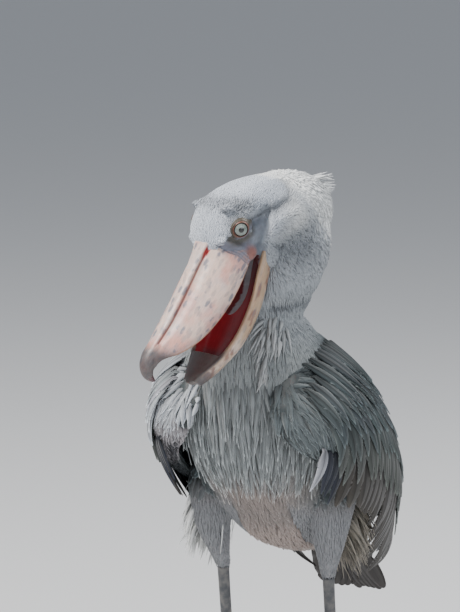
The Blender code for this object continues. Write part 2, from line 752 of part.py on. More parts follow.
LEG_ROWS = [
    (0.029, 0.4275, 0.0088, 0.0092),
    (0.036, 0.380, 0.0084, 0.0090),
    (0.046, 0.320, 0.0092, 0.0100),
    (0.052, 0.290, 0.0118, 0.0140),
    (0.052, 0.268, 0.0124, 0.0150),
    (0.047, 0.240, 0.0094, 0.0112),
    (0.036, 0.150, 0.0082, 0.0092),
    (0.026, 0.060, 0.0086, 0.0094),
    (0.020, 0.026, 0.0110, 0.0118),
    (0.018, 0.0145, 0.0110, 0.0120),
]


def make_leg(side):
    rings = []
    read = spline([(0.0, y, z, w, d, d) for y, z, w, d in LEG_ROWS], 15)
    for row in read:
        centre = Vector((LEG_X * side, row[1], row[2]))
        rings.append(round_ring(centre, Vector((1, 0, 0)), Vector((0, 1, 0)), *row[3:6], count=10))
    return tube("leg_left" if side > 0 else "leg_right", rings)


# Toes: name, direction from straight ahead, length, half width
TOES = [
    ("inner", -24.0, 0.118, 0.0078),
    ("middle", 2.0, 0.158, 0.0085),
    ("outer", 28.0, 0.132, 0.0078),
    ("hind", 172.0, 0.072, 0.0076),
]
CLAW_LENGTH = 0.026


def toe_frame(side, heading):
    angle = math.radians(heading)
    return Vector((math.sin(angle) * side, -math.cos(angle), 0.0))


def flat_ring(centre, across, width, height):
    """An outline that is flat underneath and rounded on top."""
    ring = [centre + across * (-width * 0.72), centre + across * (width * 0.72)]
    for i in range(6):
        angle = math.pi * i / 5
        high = height * (0.42 + 0.58 * math.sin(angle))
        ring.append(centre + across * (math.cos(angle) * width) + Vector((0, 0, high)))
    return ring


def make_toe(side, name, heading, length, width):
    along = toe_frame(side, heading)
    across = Vector((0, 0, 1)).cross(along)
    root = Vector((LEG_X * side, FOOT_Y, 0.0))
    start = 0.002
    rings = []
    count = 6
    for i in range(count):
        t = i / (count - 1)
        swell = 1.0 + 0.08 * math.cos(t * math.pi * 5)
        taper = 1.0 - 0.30 * t
        if i == count - 1:
            taper *= 0.72
        rings.append(flat_ring(root + along * (start + (length - start) * t), across,
                               width * swell * taper, TOE_HEIGHT * (1.0 - 0.28 * t) * (0.92 + 0.08 * swell)))
    made = tube(f"toe_{name}_" + ("left" if side > 0 else "right"), rings)
    return made


def make_foot(side):
    """The toes joined by the pad under the tarsus."""
    toes = [make_toe(side, *spec) for spec in TOES]
    return joined("foot_left" if side > 0 else "foot_right", [make_palm(side), *toes])


def make_claw(side, name, heading, length, width):
    along = toe_frame(side, heading)
    across = Vector((0, 0, 1)).cross(along)
    root = Vector((LEG_X * side, FOOT_Y, 0.0)) + along * (length + GAP)
    rings = []
    for i in range(6):
        t = i / 5
        high = 0.0056 + 0.0022 * math.sin(t * math.pi) - 0.0040 * t
        thick = 0.0036 * (1 - t) ** 0.7 + 0.0005
        rings.append(round_ring(root + along * (CLAW_LENGTH * t) + Vector((0, 0, high)), across,
                                Vector((0, 0, 1)), thick * 0.8, thick, thick * 0.8, count=6))
    return tube(f"claw_{name}_" + ("left" if side > 0 else "right"), rings)


def make_palm(side):
    """The pad where the toes meet under the tarsus."""
    centre = Vector((LEG_X * side, FOOT_Y, 0.0))
    rings = []
    for high, width in ((0.0, 0.0100), (0.003, 0.0120), (0.009, 0.0122), (0.0142, 0.0105)):
        rings.append(round_ring(centre + Vector((0, 0, high)), Vector((1, 0, 0)), Vector((0, 1, 0)),
                                width, width, width, count=14))
    return tube("palm_" + ("left" if side > 0 else "right"), rings)


def evaluated(made, solver="EXACT"):
    """Applies an object's modifiers to its own mesh."""
    graph = bpy.context.evaluated_depsgraph_get()
    mesh = bpy.data.meshes.new_from_object(made.evaluated_get(graph))
    made.modifiers.clear()
    made.data = mesh
    return made


def largest_only(made):
    """Keeps only the largest closed surface of a mesh."""
    shape = bmesh.new()
    shape.from_mesh(made.data)
    left = set(shape.verts)
    groups = []
    while left:
        todo = [left.pop()]
        group = list(todo)
        while todo:
            for edge in todo.pop().link_edges:
                for vert in edge.verts:
                    if vert in left:
                        left.discard(vert)
                        todo.append(vert)
                        group.append(vert)
        groups.append(group)

    def span(group):
        reach = np.array([v.co for v in group])
        return float(np.linalg.norm(reach.max(0) - reach.min(0)))

    groups.sort(key=span, reverse=True)
    for group in groups[1:]:
        bmesh.ops.delete(shape, geom=group, context="VERTS")
    shape.to_mesh(made.data)
    shape.free()
    return made


def joined(name, pieces, solver="MANIFOLD"):
    """One closed body from several that overlap."""
    first = pieces[0]
    group = bpy.data.collections.new(name + "_pieces")
    for piece in pieces[1:]:
        group.objects.link(piece)
    union = first.modifiers.new("join", "BOOLEAN")
    union.operation = "UNION"
    union.solver = solver
    union.operand_type = "COLLECTION"
    union.collection = group
    evaluated(first)
    for piece in pieces[1:]:
        bpy.data.objects.remove(piece)
    bpy.data.collections.remove(group)
    first.name = name
    return largest_only(first)


def swollen(made, by):
    """A copy that stands off the original by a small distance, to cut a neighbour clear of it."""
    shape = bmesh.new()
    shape.from_mesh(made.data)
    shape.normal_update()
    moves = [(v, v.normal.copy() * (by * v.calc_shell_factor())) for v in shape.verts]
    for vert, move in moves:
        vert.co += move
    mesh = bpy.data.meshes.new(made.name + "_clear")
    shape.to_mesh(mesh)
    shape.free()
    copy = bpy.data.objects.new(made.name + "_clear", mesh)
    bpy.context.scene.collection.objects.link(copy)
    return copy


def cut_clear(made, others, by=GAP, solver="MANIFOLD"):
    """Cuts an object so that it stays clear of its neighbours by a small gap."""
    for other in others:
        cutter = swollen(other, by)
        cut = made.modifiers.new("cut", "BOOLEAN")
        cut.operation = "DIFFERENCE"
        cut.solver = solver
        cut.object = cutter
        evaluated(made)
        bpy.data.objects.remove(cutter)
    return largest_only(made)


def centre_on_floor(group):
    """Moves all the meshes alike, so that the middle of their box's foot is the origin."""
    reach = np.array([v.co for made in group for v in made.data.vertices])
    low, high = reach.min(axis=0), reach.max(axis=0)
    move = Matrix.Translation((-(low[0] + high[0]) / 2, -(low[1] + high[1]) / 2, -low[2]))
    for made in group:
        made.data.transform(move)


def carve(made, cutter, solver="MANIFOLD"):
    """Cuts one shape out of an object."""
    cut = made.modifiers.new("carve", "BOOLEAN")
    cut.operation = "DIFFERENCE"
    cut.solver = solver
    cut.object = cutter
    evaluated(made)
    bpy.data.objects.remove(cutter)
    return largest_only(made)


def paint(made, name, colour, roughness):
    material = bpy.data.materials.get(name) or bpy.data.materials.new(name)
    material.use_nodes = True
    shader = material.node_tree.nodes["Principled BSDF"]
    shader.inputs["Base Color"].default_value = (*colour, 1.0)
    shader.inputs["Roughness"].default_value = roughness
    shader.inputs["Metallic"].default_value = 0.0
    made.data.materials.clear()
    made.data.materials.append(material)


SLATE = ("slate_feathers", (0.33, 0.36, 0.40), 0.85)
PALE = ("pale_feathers", (0.50, 0.53, 0.57), 0.85)
HORN = ("bill_horn", (0.72, 0.60, 0.53), 0.45)
EYEBALL = ("eyeball", (0.55, 0.60, 0.58), 0.10)
LEG = ("leg_scales", (0.12, 0.13, 0.14), 0.60)
CLAW = ("claw_horn", (0.08, 0.07, 0.06), 0.40)


def main():
    for old in list(bpy.data.objects):
        bpy.data.objects.remove(old)
    eyes = [ball(f"eye_{name}", at_head(EYE[0], sign * EYE[1], EYE[2]), EYE_RADIUS)
            for name, sign in (("left", 1), ("right", -1))]
    upper = joined("bill_upper", [make_upper_bill(), make_hook()])
    for sign in (1, -1):
        carve(upper, make_nostril(sign))
    lower = make_lower_bill()
    torso = make_torso()
    head = cut_clear(finish_head(make_head()), [*eyes, upper, lower])
    neck = cut_clear(make_neck(), [torso, head, upper, *eyes])
    cut_clear(neck, [lower], 2.6 * GAP)
    tail = cut_clear(make_tail(), [torso])
    thighs, legs, wings, feet, claws = [], [], [], [], []
    for side in (1, -1):
        legs.append(make_leg(side))
        thighs.append(cut_clear(finish_thigh(make_thigh(side), side), [torso, legs[-1]]))
        feet.append(cut_clear(make_foot(side), [legs[-1]]))
        for spec in TOES:
            claws.append(make_claw(side, *spec))
    for side in (1, -1):
        wings.append(cut_clear(make_wing(side), [torso, neck, tail, *thighs]))
    cut_clear(finish_torso(torso, wings), [lower], 2 * GAP)
    centre_on_floor([o for o in bpy.data.objects if o.type == "MESH"])
    for made in (torso, neck, *wings, tail, *thighs, head):
        paint(made, *SLATE)
    for made in (upper, lower):
        paint(made, *HORN)
    for made in eyes:
        paint(made, *EYEBALL)
    for made in (*legs, *feet):
        paint(made, *LEG)
    for made in claws:
        paint(made, *CLAW)


main()
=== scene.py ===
# %% [markdown]
# # A shoebill, dressed feather by feather
#
# The solids of this museum model come in as a fixed frame. They carry the true outline, but they are
# faceted and plain. This script gives them their looks: one smooth skin under a coat of some tens of
# thousands of small feathers, wings and tail of real vanes, a horny bill, wet eyes and scaly legs.
# Everything is drawn by rules from a few sizes in metres, so a reader can change one and run it again.

# %% Load the frame
import json
import math
import time

import bpy
import numpy as np
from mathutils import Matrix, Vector
from mathutils.bvhtree import BVHTree
from mathutils.kdtree import KDTree

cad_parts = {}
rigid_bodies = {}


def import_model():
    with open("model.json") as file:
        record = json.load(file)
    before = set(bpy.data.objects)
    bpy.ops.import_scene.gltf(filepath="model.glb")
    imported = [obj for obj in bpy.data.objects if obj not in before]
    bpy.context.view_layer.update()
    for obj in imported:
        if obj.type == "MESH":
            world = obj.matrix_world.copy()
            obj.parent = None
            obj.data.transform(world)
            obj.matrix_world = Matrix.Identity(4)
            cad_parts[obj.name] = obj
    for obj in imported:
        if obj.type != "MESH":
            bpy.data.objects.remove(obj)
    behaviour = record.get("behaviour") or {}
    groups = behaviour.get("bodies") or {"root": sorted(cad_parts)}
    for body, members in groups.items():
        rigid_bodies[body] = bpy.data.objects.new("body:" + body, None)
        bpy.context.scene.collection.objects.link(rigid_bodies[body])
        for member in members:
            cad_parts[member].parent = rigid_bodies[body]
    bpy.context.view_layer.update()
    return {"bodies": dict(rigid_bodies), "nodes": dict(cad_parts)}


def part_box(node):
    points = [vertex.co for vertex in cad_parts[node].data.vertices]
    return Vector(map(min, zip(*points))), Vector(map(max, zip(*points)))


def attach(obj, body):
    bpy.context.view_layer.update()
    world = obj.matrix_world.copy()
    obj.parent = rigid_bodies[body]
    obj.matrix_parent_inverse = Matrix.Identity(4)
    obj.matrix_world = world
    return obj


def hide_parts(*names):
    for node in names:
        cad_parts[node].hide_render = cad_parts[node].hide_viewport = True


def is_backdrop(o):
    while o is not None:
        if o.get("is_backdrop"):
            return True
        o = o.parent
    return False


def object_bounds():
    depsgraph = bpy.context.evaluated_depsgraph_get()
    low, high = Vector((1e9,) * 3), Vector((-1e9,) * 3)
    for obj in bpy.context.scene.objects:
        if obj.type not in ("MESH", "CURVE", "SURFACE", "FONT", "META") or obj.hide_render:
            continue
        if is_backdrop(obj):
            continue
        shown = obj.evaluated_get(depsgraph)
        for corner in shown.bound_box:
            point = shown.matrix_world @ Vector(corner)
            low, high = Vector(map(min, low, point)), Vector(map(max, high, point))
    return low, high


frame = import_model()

began = time.time()
print("solids to dress:", len(frame["nodes"]))

# %% [markdown]
# ## The bird's own axes
#
# The bird faces -Y and its left side is +X. Its head is turned and the bill points down, so places on
# the head are easier to give along the bill, to the side and up from the line between the corners of
# the mouth. The eyes of the solids tell how far the whole bird was moved to centre it on the floor.

# %% Head and jaw axes
HEAD_YAW = math.radians(26.0)
BILL_PITCH = math.radians(45.0)
MOUTH_ANGLE = math.radians(16.6)
JAW_HINGE = -0.030
GAPE = np.array([-0.004, -0.135, 0.948])
EYE = (-0.009, 0.0410, 0.0465)
BILL_BEND = 0.035
FORWARD = np.array([-math.sin(HEAD_YAW) * math.cos(BILL_PITCH), -math.cos(HEAD_YAW) * math.cos(BILL_PITCH),
                    -math.sin(BILL_PITCH)])
LEFT = np.array([math.cos(HEAD_YAW), -math.sin(HEAD_YAW), 0.0])
UP = np.cross(FORWARD, LEFT)


def at_head(along, side, up):
    """Points of the head's frame, in the bird's frame."""
    along, side, up = (np.asarray(v, float)[..., None] for v in (along, side, up))
    return GAPE + FORWARD * along + LEFT * (side + BILL_BEND * np.maximum(along, 0.0)) + UP * up


def head_place(points):
    """The reverse: along the bill, to the side and up."""
    away = np.asarray(points) - GAPE
    along = away @ FORWARD
    return np.stack([along, away @ LEFT - BILL_BEND * np.maximum(along, 0.0), away @ UP], axis=-1)


def jaw_turn(along, up, angle):
    """Turns a place in the head's frame about the jaw's hinge."""
    reach = np.asarray(along) - JAW_HINGE
    return (JAW_HINGE + reach * math.cos(angle) + up * math.sin(angle),
            up * math.cos(angle) - reach * math.sin(angle))


def at_jaw(along, side, up):
    """Points given on the closed lower bill, carried down to where the open bill holds it."""
    a, u = jaw_turn(along, up, MOUTH_ANGLE)
    return at_head(a, side, u)


eye_boxes = [np.array(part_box(f"eye_{name}")) for name in ("left", "right")]
SHIFT = np.mean([b.mean(axis=0) for b in eye_boxes], axis=0) - at_head(EYE[0], 0.0, EYE[2])
print("the bird was moved by", SHIFT.round(5))

# %% [markdown]
# ## Meshes from arrays
#
# Tens of thousands of feathers are too many for one object each. They are worked out together with
# numpy and poured into a mesh in one go, with a UV map for the pattern along each vane, a second map
# for the later bake, and a colour for each feather.

# %% Small helpers
chance = np.random.default_rng(12)
SIDEWAYS, BACKWARDS, SKY = np.eye(3)
SIDE_WORD = {1: "left", -1: "right"}


def circle(count):
    """Evenly spaced angles round a circle."""
    return np.linspace(0.0, 2 * math.pi, count, endpoint=False)


def smooth_step(low, high, value):
    """0 below low, 1 above high, and a soft curve between them; low may be the larger one."""
    t = np.clip((np.asarray(value, float) - low) / (high - low), 0.0, 1.0)
    return t * t * (3 - 2 * t)


def unit(v):
    """Vectors made one long."""
    return v / np.maximum(np.linalg.norm(v, axis=-1, keepdims=True), 1e-9)


def linear(hex_colour):
    """An sRGB hex value as linear red, green and blue."""
    parts = np.array([int(hex_colour[i:i + 2], 16) for i in (1, 3, 5)]) / 255.0
    return np.where(parts <= 0.04045, parts / 12.92, ((parts + 0.055) / 1.055) ** 2.4)


def mesh_object(name, points, faces, maps=None, colours=None, vectors=None):
    """A mesh object from arrays: triangles or quads, maps per point, colours and vectors per point."""
    mesh = bpy.data.meshes.new(name)
    points, faces = np.asarray(points, float).reshape(-1, 3), np.asarray(faces, int)
    mesh.vertices.add(len(points))
    mesh.vertices.foreach_set("co", (points + SHIFT).ravel())
    mesh.loops.add(faces.size)
    mesh.loops.foreach_set("vertex_index", faces.ravel())
    mesh.polygons.add(len(faces))
    mesh.polygons.foreach_set("loop_start", np.arange(0, faces.size, faces.shape[1]))
    mesh.update(calc_edges=True)
    for key, values in (maps or {}).items():
        layer = mesh.uv_layers.new(name=key)
        layer.data.foreach_set("uv", np.asarray(values, float)[faces.ravel()].ravel())
    mesh.shade_smooth()
    made = bpy.data.objects.new(name, mesh)
    bpy.context.scene.collection.objects.link(made)
    for key, values in (colours or {}).items():
        give_colour(made, key, values)
    for key, values in (vectors or {}).items():
        give_vector(made, key, values)
    return made


def spline(rows, count):
    """A smooth curve through rows of numbers, read at evenly spaced places along its first three."""
    rows = np.array(rows, float)
    knots = np.concatenate([[0.0], np.cumsum(np.linalg.norm(np.diff(rows[:, :3], axis=0), axis=1))])
    return read_curve(knots, rows, np.linspace(0.0, knots[-1], count))


def read_curve(knots, rows, places):
    """Values of a smooth curve through rows, at places along its knots."""
    rows = np.asarray(rows, float)
    slopes = np.gradient(rows, knots, axis=0)
    places = np.clip(places, knots[0], knots[-1])
    i = np.clip(np.searchsorted(knots, places, side="right") - 1, 0, len(rows) - 2)
    width = (knots[i + 1] - knots[i])[..., None]
    t = (places - knots[i])[..., None] / width
    return ((2 * t**3 - 3 * t**2 + 1) * rows[i] + (t**3 - 2 * t**2 + t) * width * slopes[i]
            + (3 * t**2 - 2 * t**3) * rows[i + 1] + (t**3 - t**2) * width * slopes[i + 1])


def table_at(rows, places):
    """Rows of a table read at places along its first column."""
    rows = np.array(rows, float)
    return read_curve(rows[:, 0], rows, np.asarray(places, float))


def loft(rings):
    """Points and faces of a closed body through rings of points, with a fan at each end."""
    rings = np.asarray(rings, float)
    rows, count = rings.shape[:2]
    i, k = np.meshgrid(np.arange(rows - 1), np.arange(count), indexing="ij")
    a, b = i * count + k, i * count + (k + 1) % count
    quads = np.stack([a, b, b + count, a + count], axis=-1).reshape(-1, 4)
    ends = np.stack([rings[0].mean(axis=0), rings[-1].mean(axis=0)])
    points = np.concatenate([rings.reshape(-1, 3), ends])
    k = np.arange(count)
    first, last = rows * count, rows * count + 1
    low = np.stack([(k + 1) % count, k, np.full(count, first)], axis=-1)
    top = (rows - 1) * count
    high = np.stack([top + k, top + (k + 1) % count, np.full(count, last)], axis=-1)
    tris = np.concatenate([quads[:, [0, 1, 2]], quads[:, [0, 2, 3]], low, high])
    return outward(points, tris)


def outward(points, tris):
    """Turns a closed mesh's triangles round where they enclose a negative volume."""
    p = points[tris]
    volume = np.einsum("ij,ij->i", p[:, 0], np.cross(p[:, 1], p[:, 2])).sum()
    return points, (tris if volume > 0 else tris[:, ::-1])


def merged(parts):
    """Several (points, triangles) pairs as one."""
    points, tris, start = [], [], 0
    for p, t in parts:
        points.append(p)
        tris.append(t + start)
        start += len(p)
    return np.concatenate(points), np.concatenate(tris)


def remeshed(name, parts, voxel, smoothing):
    """Fuses overlapping closed bodies into one skin of even small faces, then softens it."""
    made = mesh_object(name, *merged(parts))
    fuse = made.modifiers.new("fuse", "REMESH")
    fuse.mode = "VOXEL"
    fuse.voxel_size = voxel
    soften = made.modifiers.new("soften", "SMOOTH")
    soften.factor = 0.5
    soften.iterations = smoothing
    mesh = bpy.data.meshes.new_from_object(made.evaluated_get(bpy.context.evaluated_depsgraph_get()))
    made.modifiers.clear()
    made.data = mesh
    mesh.shade_smooth()
    return made


def read_points(made):
    """An object's points in the bird's frame."""
    flat = np.empty(len(made.data.vertices) * 3, np.float32)
    made.data.vertices.foreach_get("co", flat)
    return flat.reshape(-1, 3).astype(float) - SHIFT


def read_normals(made):
    """The normals of a mesh's points."""
    flat = np.empty(len(made.data.vertices) * 3, np.float32)
    made.data.vertices.foreach_get("normal", flat)
    return flat.reshape(-1, 3).astype(float)


def write_points(made, points):
    """Moves a mesh's points, given in the bird's frame."""
    made.data.vertices.foreach_set("co", (points + SHIFT).astype(np.float32).ravel())
    made.data.update()


def give_colour(made, key, values):
    """Keeps a colour for each point on the mesh."""
    rgba = np.ones((len(made.data.vertices), 4))
    values = np.asarray(values, float)
    rgba[:, :values.shape[1]] = values
    layer = made.data.color_attributes.new(key, "FLOAT_COLOR", "POINT")
    layer.data.foreach_set("color", rgba.ravel())


def give_vector(made, key, values):
    """Keeps three numbers for each point on the mesh."""
    layer = made.data.attributes.new(key, "FLOAT_VECTOR", "POINT")
    layer.data.foreach_set("vector", np.asarray(values).ravel())


def tree_of(made):
    """A search tree over an object's faces, in the bird's frame."""
    points = read_points(made)
    return BVHTree.FromPolygons([tuple(p) for p in points], [p.vertices[:] for p in made.data.polygons])


# %% [markdown]
# ## Camera, floor and light
#
# The photograph was taken with a long lens from a little above the bird's back, from its front left.
# The camera stands there and is shifted only as far as the framing needs. A pale, very wide floor and
# large soft lamps show form and colour plainly.

# %% Camera, floor and lamps
CAMERA_AZIMUTH = math.radians(20.0)
CAMERA_DISTANCE = 3.5
CAMERA_HEIGHT = 1.50
LOOK_HEIGHT = 0.79
LENS_MM = 142.0
SHIFT_X, SHIFT_Y = -0.067, 0.059
FLOOR_REACH = 40.0


def make_camera():
    """The camera that sees what the photo shows."""
    data = bpy.data.cameras.new("camera")
    data.lens, data.sensor_width, data.shift_x, data.shift_y = LENS_MM, 36.0, SHIFT_X, SHIFT_Y
    camera = bpy.data.objects.new("camera", data)
    bpy.context.scene.collection.objects.link(camera)
    camera.location = (math.sin(CAMERA_AZIMUTH) * CAMERA_DISTANCE,
                       -math.cos(CAMERA_AZIMUTH) * CAMERA_DISTANCE + SHIFT[1], CAMERA_HEIGHT)
    aim = Vector((0.0, SHIFT[1], LOOK_HEIGHT)) - camera.location
    camera.rotation_euler = aim.to_track_quat("-Z", "Y").to_euler()
    bpy.context.scene.camera = camera


def make_lamp(name, place, size, power, colour):
    """A square lamp aimed at the middle of the bird."""
    data = bpy.data.lights.new(name, "AREA")
    data.energy, data.size, data.color = power, size, colour
    lamp = bpy.data.objects.new(name, data)
    bpy.context.scene.collection.objects.link(lamp)
    lamp.location = place
    lamp.rotation_euler = (Vector((0, 0, 0.7)) - lamp.location).to_track_quat("-Z", "Y").to_euler()


def add(tree, kind, settings=(), feeds=()):
    """Adds one node, sets it, and feeds its inputs with values or with other nodes' outputs."""
    made = tree.nodes.new(kind)
    for key, value in dict(settings).items():
        setattr(made, key, value)
    for key, value in dict(feeds).items():
        if isinstance(value, bpy.types.NodeSocket):
            tree.links.new(value, made.inputs[key])
        else:
            made.inputs[key].default_value = value
    return made


def new_material(name):
    """A material with its Principled shader, ready for nodes."""
    made = bpy.data.materials.new(name)
    made.use_nodes = True
    return made, made.node_tree, made.node_tree.nodes["Principled BSDF"]


MM = 1.0 / 1000.0


def noise_at(tree, place, size_mm, detail):
    """Noise with cells of a size in millimetres."""
    return add(tree, "ShaderNodeTexNoise", {}, {"Vector": place, "Scale": 1.0 / (size_mm * MM),
                                                "Detail": detail}).outputs["Fac"]


def cells_at(tree, place, size_mm):
    """Rounded cells of a size in millimetres."""
    return add(tree, "ShaderNodeTexVoronoi", {"feature": "F1"},
               {"Vector": place, "Scale": 1.0 / (size_mm * MM)}).outputs


def calc(tree, operation, *values):
    """One step of arithmetic on outputs or numbers."""
    return add(tree, "ShaderNodeMath", {"operation": operation}, dict(enumerate(values))).outputs[0]


def times(tree, *values):
    """The product of some outputs or numbers."""
    made = values[0]
    for value in values[1:]:
        made = calc(tree, "MULTIPLY", made, value)
    return made


def ramp(tree, value, low, high, start=0.0, end=1.0, kind="SMOOTHSTEP"):
    """A value remapped from one range to another."""
    return add(tree, "ShaderNodeMapRange", {"interpolation_type": kind},
               {"Value": value, "From Min": low, "From Max": high, "To Min": start,
                "To Max": end}).outputs["Result"]


def mix(tree, fac, a, b):
    """A colour between two; each is a hex value or another node's output."""
    a, b = ((*linear(v), 1.0) if isinstance(v, str) else v for v in (a, b))
    return add(tree, "ShaderNodeMix", {"data_type": "RGBA"}, {0: fac, 6: a, 7: b}).outputs[2]


def scaled(tree, colour, amount):
    """A colour times a number."""
    return add(tree, "ShaderNodeVectorMath", {"operation": "SCALE"},
               {0: colour, "Scale": amount}).outputs["Vector"]


def vertex_colour(tree, layer):
    """A colour that the mesh keeps for each point."""
    return add(tree, "ShaderNodeVertexColor", {"layer_name": layer}).outputs["Color"]


def channels(tree, layer):
    """The three numbers that the mesh keeps as a colour."""
    return add(tree, "ShaderNodeSeparateColor", {}, {0: vertex_colour(tree, layer)}).outputs


def paint(tree, shader, colour, height, strength, bump_mm):
    """Feeds the shader its colour, and a bump of a height in millimetres."""
    bump = add(tree, "ShaderNodeBump", {}, {"Height": height, "Strength": strength, "Distance": bump_mm * MM})
    tree.links.new(colour, shader.inputs["Base Color"])
    tree.links.new(bump.outputs["Normal"], shader.inputs["Normal"])


def dress(made, material):
    """Gives an object its one material."""
    made.data.materials.clear()
    made.data.materials.append(material)
    return made


def make_floor():
    """One flat sheet, so wide that its edge is out of sight from any side."""
    material, _, shader = new_material("matt_studio_paper")
    shader.inputs["Base Color"].default_value = (*linear("#d9dadb"), 1.0)
    shader.inputs["Roughness"].default_value = 0.9
    corners = FLOOR_REACH * np.array([(-1, -1, 0), (1, -1, 0), (1, 1, 0), (-1, 1, 0)])
    floor = mesh_object("floor", corners - SHIFT, [(0, 1, 2, 3)])
    dress(floor, material)
    floor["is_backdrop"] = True


make_camera()
make_floor()
make_lamp("key", (-1.3, -1.7, 4.1), 1.0, 250.0, (1.0, 0.97, 0.93))
make_lamp("fill", (2.6, -2.6, 1.9), 2.6, 50.0, (0.93, 0.96, 1.0))
make_lamp("rim", (1.2, 1.5, 2.9), 1.4, 60.0, (1.0, 1.0, 1.0))
world = bpy.data.worlds.new("studio")
world.use_nodes = True
sky = world.node_tree.nodes["Background"]
sky.inputs["Color"].default_value = (0.75, 0.80, 0.88, 1.0)
sky.inputs["Strength"].default_value = 0.45
bpy.context.scene.world = world
print("camera, floor and lamps are set")

# %% [markdown]
# ## One skin for body, neck, head and thighs
#
# On the real bird one skin runs from the bill to the toes. The same rows of sizes that made the solids
# are lofted again, a little thinner by the depth of the coat, and fused by a voxel remesh, so that no
# seam shows between head, neck and body.

# %% Rows of the body
# Each row: centre x, y, z, half width, reach on the back and reach on the belly
TORSO_ROWS = [
    (0.000, 0.290, 0.462, 0.022, 0.014, 0.016), (0.000, 0.262, 0.488, 0.060, 0.031, 0.060),
    (0.000, 0.205, 0.522, 0.090, 0.062, 0.112), (0.000, 0.130, 0.580, 0.119, 0.098, 0.146),
    (0.000, 0.045, 0.655, 0.132, 0.120, 0.143), (0.000, -0.026, 0.728, 0.130, 0.114, 0.126),
    (0.000, -0.058, 0.790, 0.108, 0.094, 0.094), (0.002, -0.066, 0.832, 0.082, 0.072, 0.072),
]
NECK_ROWS = [
    (0.002, -0.066, 0.832, 0.082, 0.072, 0.072), (0.010, -0.066, 0.862, 0.068, 0.066, 0.062),
    (0.024, -0.060, 0.900, 0.070, 0.070, 0.056), (0.036, -0.050, 0.940, 0.072, 0.070, 0.056),
    (0.042, -0.044, 0.978, 0.064, 0.060, 0.050), (0.044, -0.044, 1.008, 0.034, 0.034, 0.034),
]
# The neck's root, inside the torso, so that no notch is left between the two
NECK_ROOT = (0.000, -0.063, 0.800, 0.093, 0.081, 0.081)
# The head's rows in its own frame: along the bill, up, half width, reach up and down
HEAD_ROWS = [
    (0.036, 0.026, 0.026, 0.024, 0.020), (0.024, 0.028, 0.039, 0.038, 0.030),
    (0.002, 0.030, 0.047, 0.053, 0.042), (-0.026, 0.027, 0.053, 0.057, 0.052),
    (-0.044, 0.020, 0.053, 0.055, 0.054), (-0.060, 0.009, 0.061, 0.054, 0.054),
    (-0.084, -0.012, 0.066, 0.054, 0.056), (-0.113, -0.047, 0.068, 0.058, 0.054),
    (-0.134, -0.080, 0.047, 0.046, 0.046),
]
THIGH_ROWS = [
    (0.080, 0.045, 0.600, 0.048, 0.060, 0.060), (0.086, 0.036, 0.560, 0.042, 0.056, 0.056),
    (0.088, 0.028, 0.515, 0.032, 0.044, 0.042), (0.087, 0.026, 0.470, 0.0225, 0.028, 0.026),
    (0.085, 0.028, 0.438, 0.0135, 0.0155, 0.0145), (0.085, 0.029, 0.428, 0.0105, 0.0110, 0.0105),
]
RIGHT_SPREAD = 0.013
# The lower bill's rows, as if it were closed: along, top, low, half width
LOWER_ROWS = [
    (-0.012, -0.004, -0.032, 0.0485), (0.020, -0.006, -0.038, 0.0505), (0.055, -0.012, -0.043, 0.0500),
    (0.090, -0.014, -0.043, 0.0470), (0.125, -0.0115, -0.038, 0.0415), (0.155, -0.0055, -0.029, 0.0310),
    (0.182, 0.004, -0.019, 0.0185), (0.200, 0.010, -0.008, 0.0100),
]
LOWER_ENDS = (-0.012, 0.196)
COAT_DEPTH = {"torso": 0.0050, "neck": 0.0045, "head": 0.0030, "thigh": 0.0040}


def round_ring(centre, side, up, width, above, below, count, power):
    """Points round a closed outline with its own reach above and below."""
    c, s = np.cos(circle(count)), np.sin(circle(count))
    across = np.sign(c) * np.abs(c) ** (2 / power) * width
    high = np.sign(s) * np.abs(s) ** (2 / power) * np.where(s > 0, above, below)
    return centre + across[:, None] * side + high[:, None] * up


def body_loft(rows, count, depth, side_at_end=None):
    """A body whose spine runs through rows, thinner all round by the coat's depth."""
    read = spline(rows, count)
    rings = []
    for i, row in enumerate(read):
        along = unit(read[min(i + 1, count - 1)][:3] - read[max(i - 1, 0)][:3])
        side = SIDEWAYS
        if side_at_end is not None:
            side = side + (side_at_end - side) * i / (count - 1)
        side = unit(side - along * (side @ along))
        back = np.cross(along, side)
        back = back if back[1] > 0 else -back
        rings.append(round_ring(row[:3], side, back, *(row[3:6] - depth), 64, 2.15))
    return loft(rings)


def head_loft(depth):
    """The head, thinner all round by the coat's depth."""
    read = spline([(a, 0.0, c, w, up, down) for a, c, w, up, down in HEAD_ROWS], 44)
    rings, last = [], UP
    for i, row in enumerate(read):
        step = read[min(i + 1, len(read) - 1)][:3] - read[max(i - 1, 0)][:3]
        along = unit(FORWARD * step[0] + UP * step[2])
        up = unit(np.cross(LEFT, along))
        up = up if up @ last > 0 else -up
        last = up
        rings.append(round_ring(at_head(row[0], 0.0, row[2]), LEFT, up, *(row[3:6] - depth), 64, 2.1))
    return loft(rings)


def thigh_loft(sign, depth):
    """A thigh; the right one stands off a little further to the side higher up."""
    read = spline(THIGH_ROWS, 30)
    rings = []
    for row in read:
        spread = RIGHT_SPREAD * np.clip((row[2] - 0.428) / 0.07, 0, 1) * (sign < 0)
        sizes = np.maximum(row[3:6] - depth * (0.45 + 0.55 * smooth_step(0.43, 0.47, row[2])), 0.006)
        centre = np.array([(row[0] + spread) * sign, row[1], row[2]])
        rings.append(round_ring(centre, SIDEWAYS, BACKWARDS, *sizes, 40, 2.0))
    return loft(rings)


def egg(centre, along, side, up):
    """A smooth swelling, given by its three half axes."""
    rows = []
    turn = circle(24)[:, None]
    for angle in np.linspace(0.0, math.pi, 18)[1:-1]:
        rows.append(centre + along * math.cos(angle)
                    + (side * np.cos(turn) + up * np.sin(turn)) * math.sin(angle))
    return loft(rows)


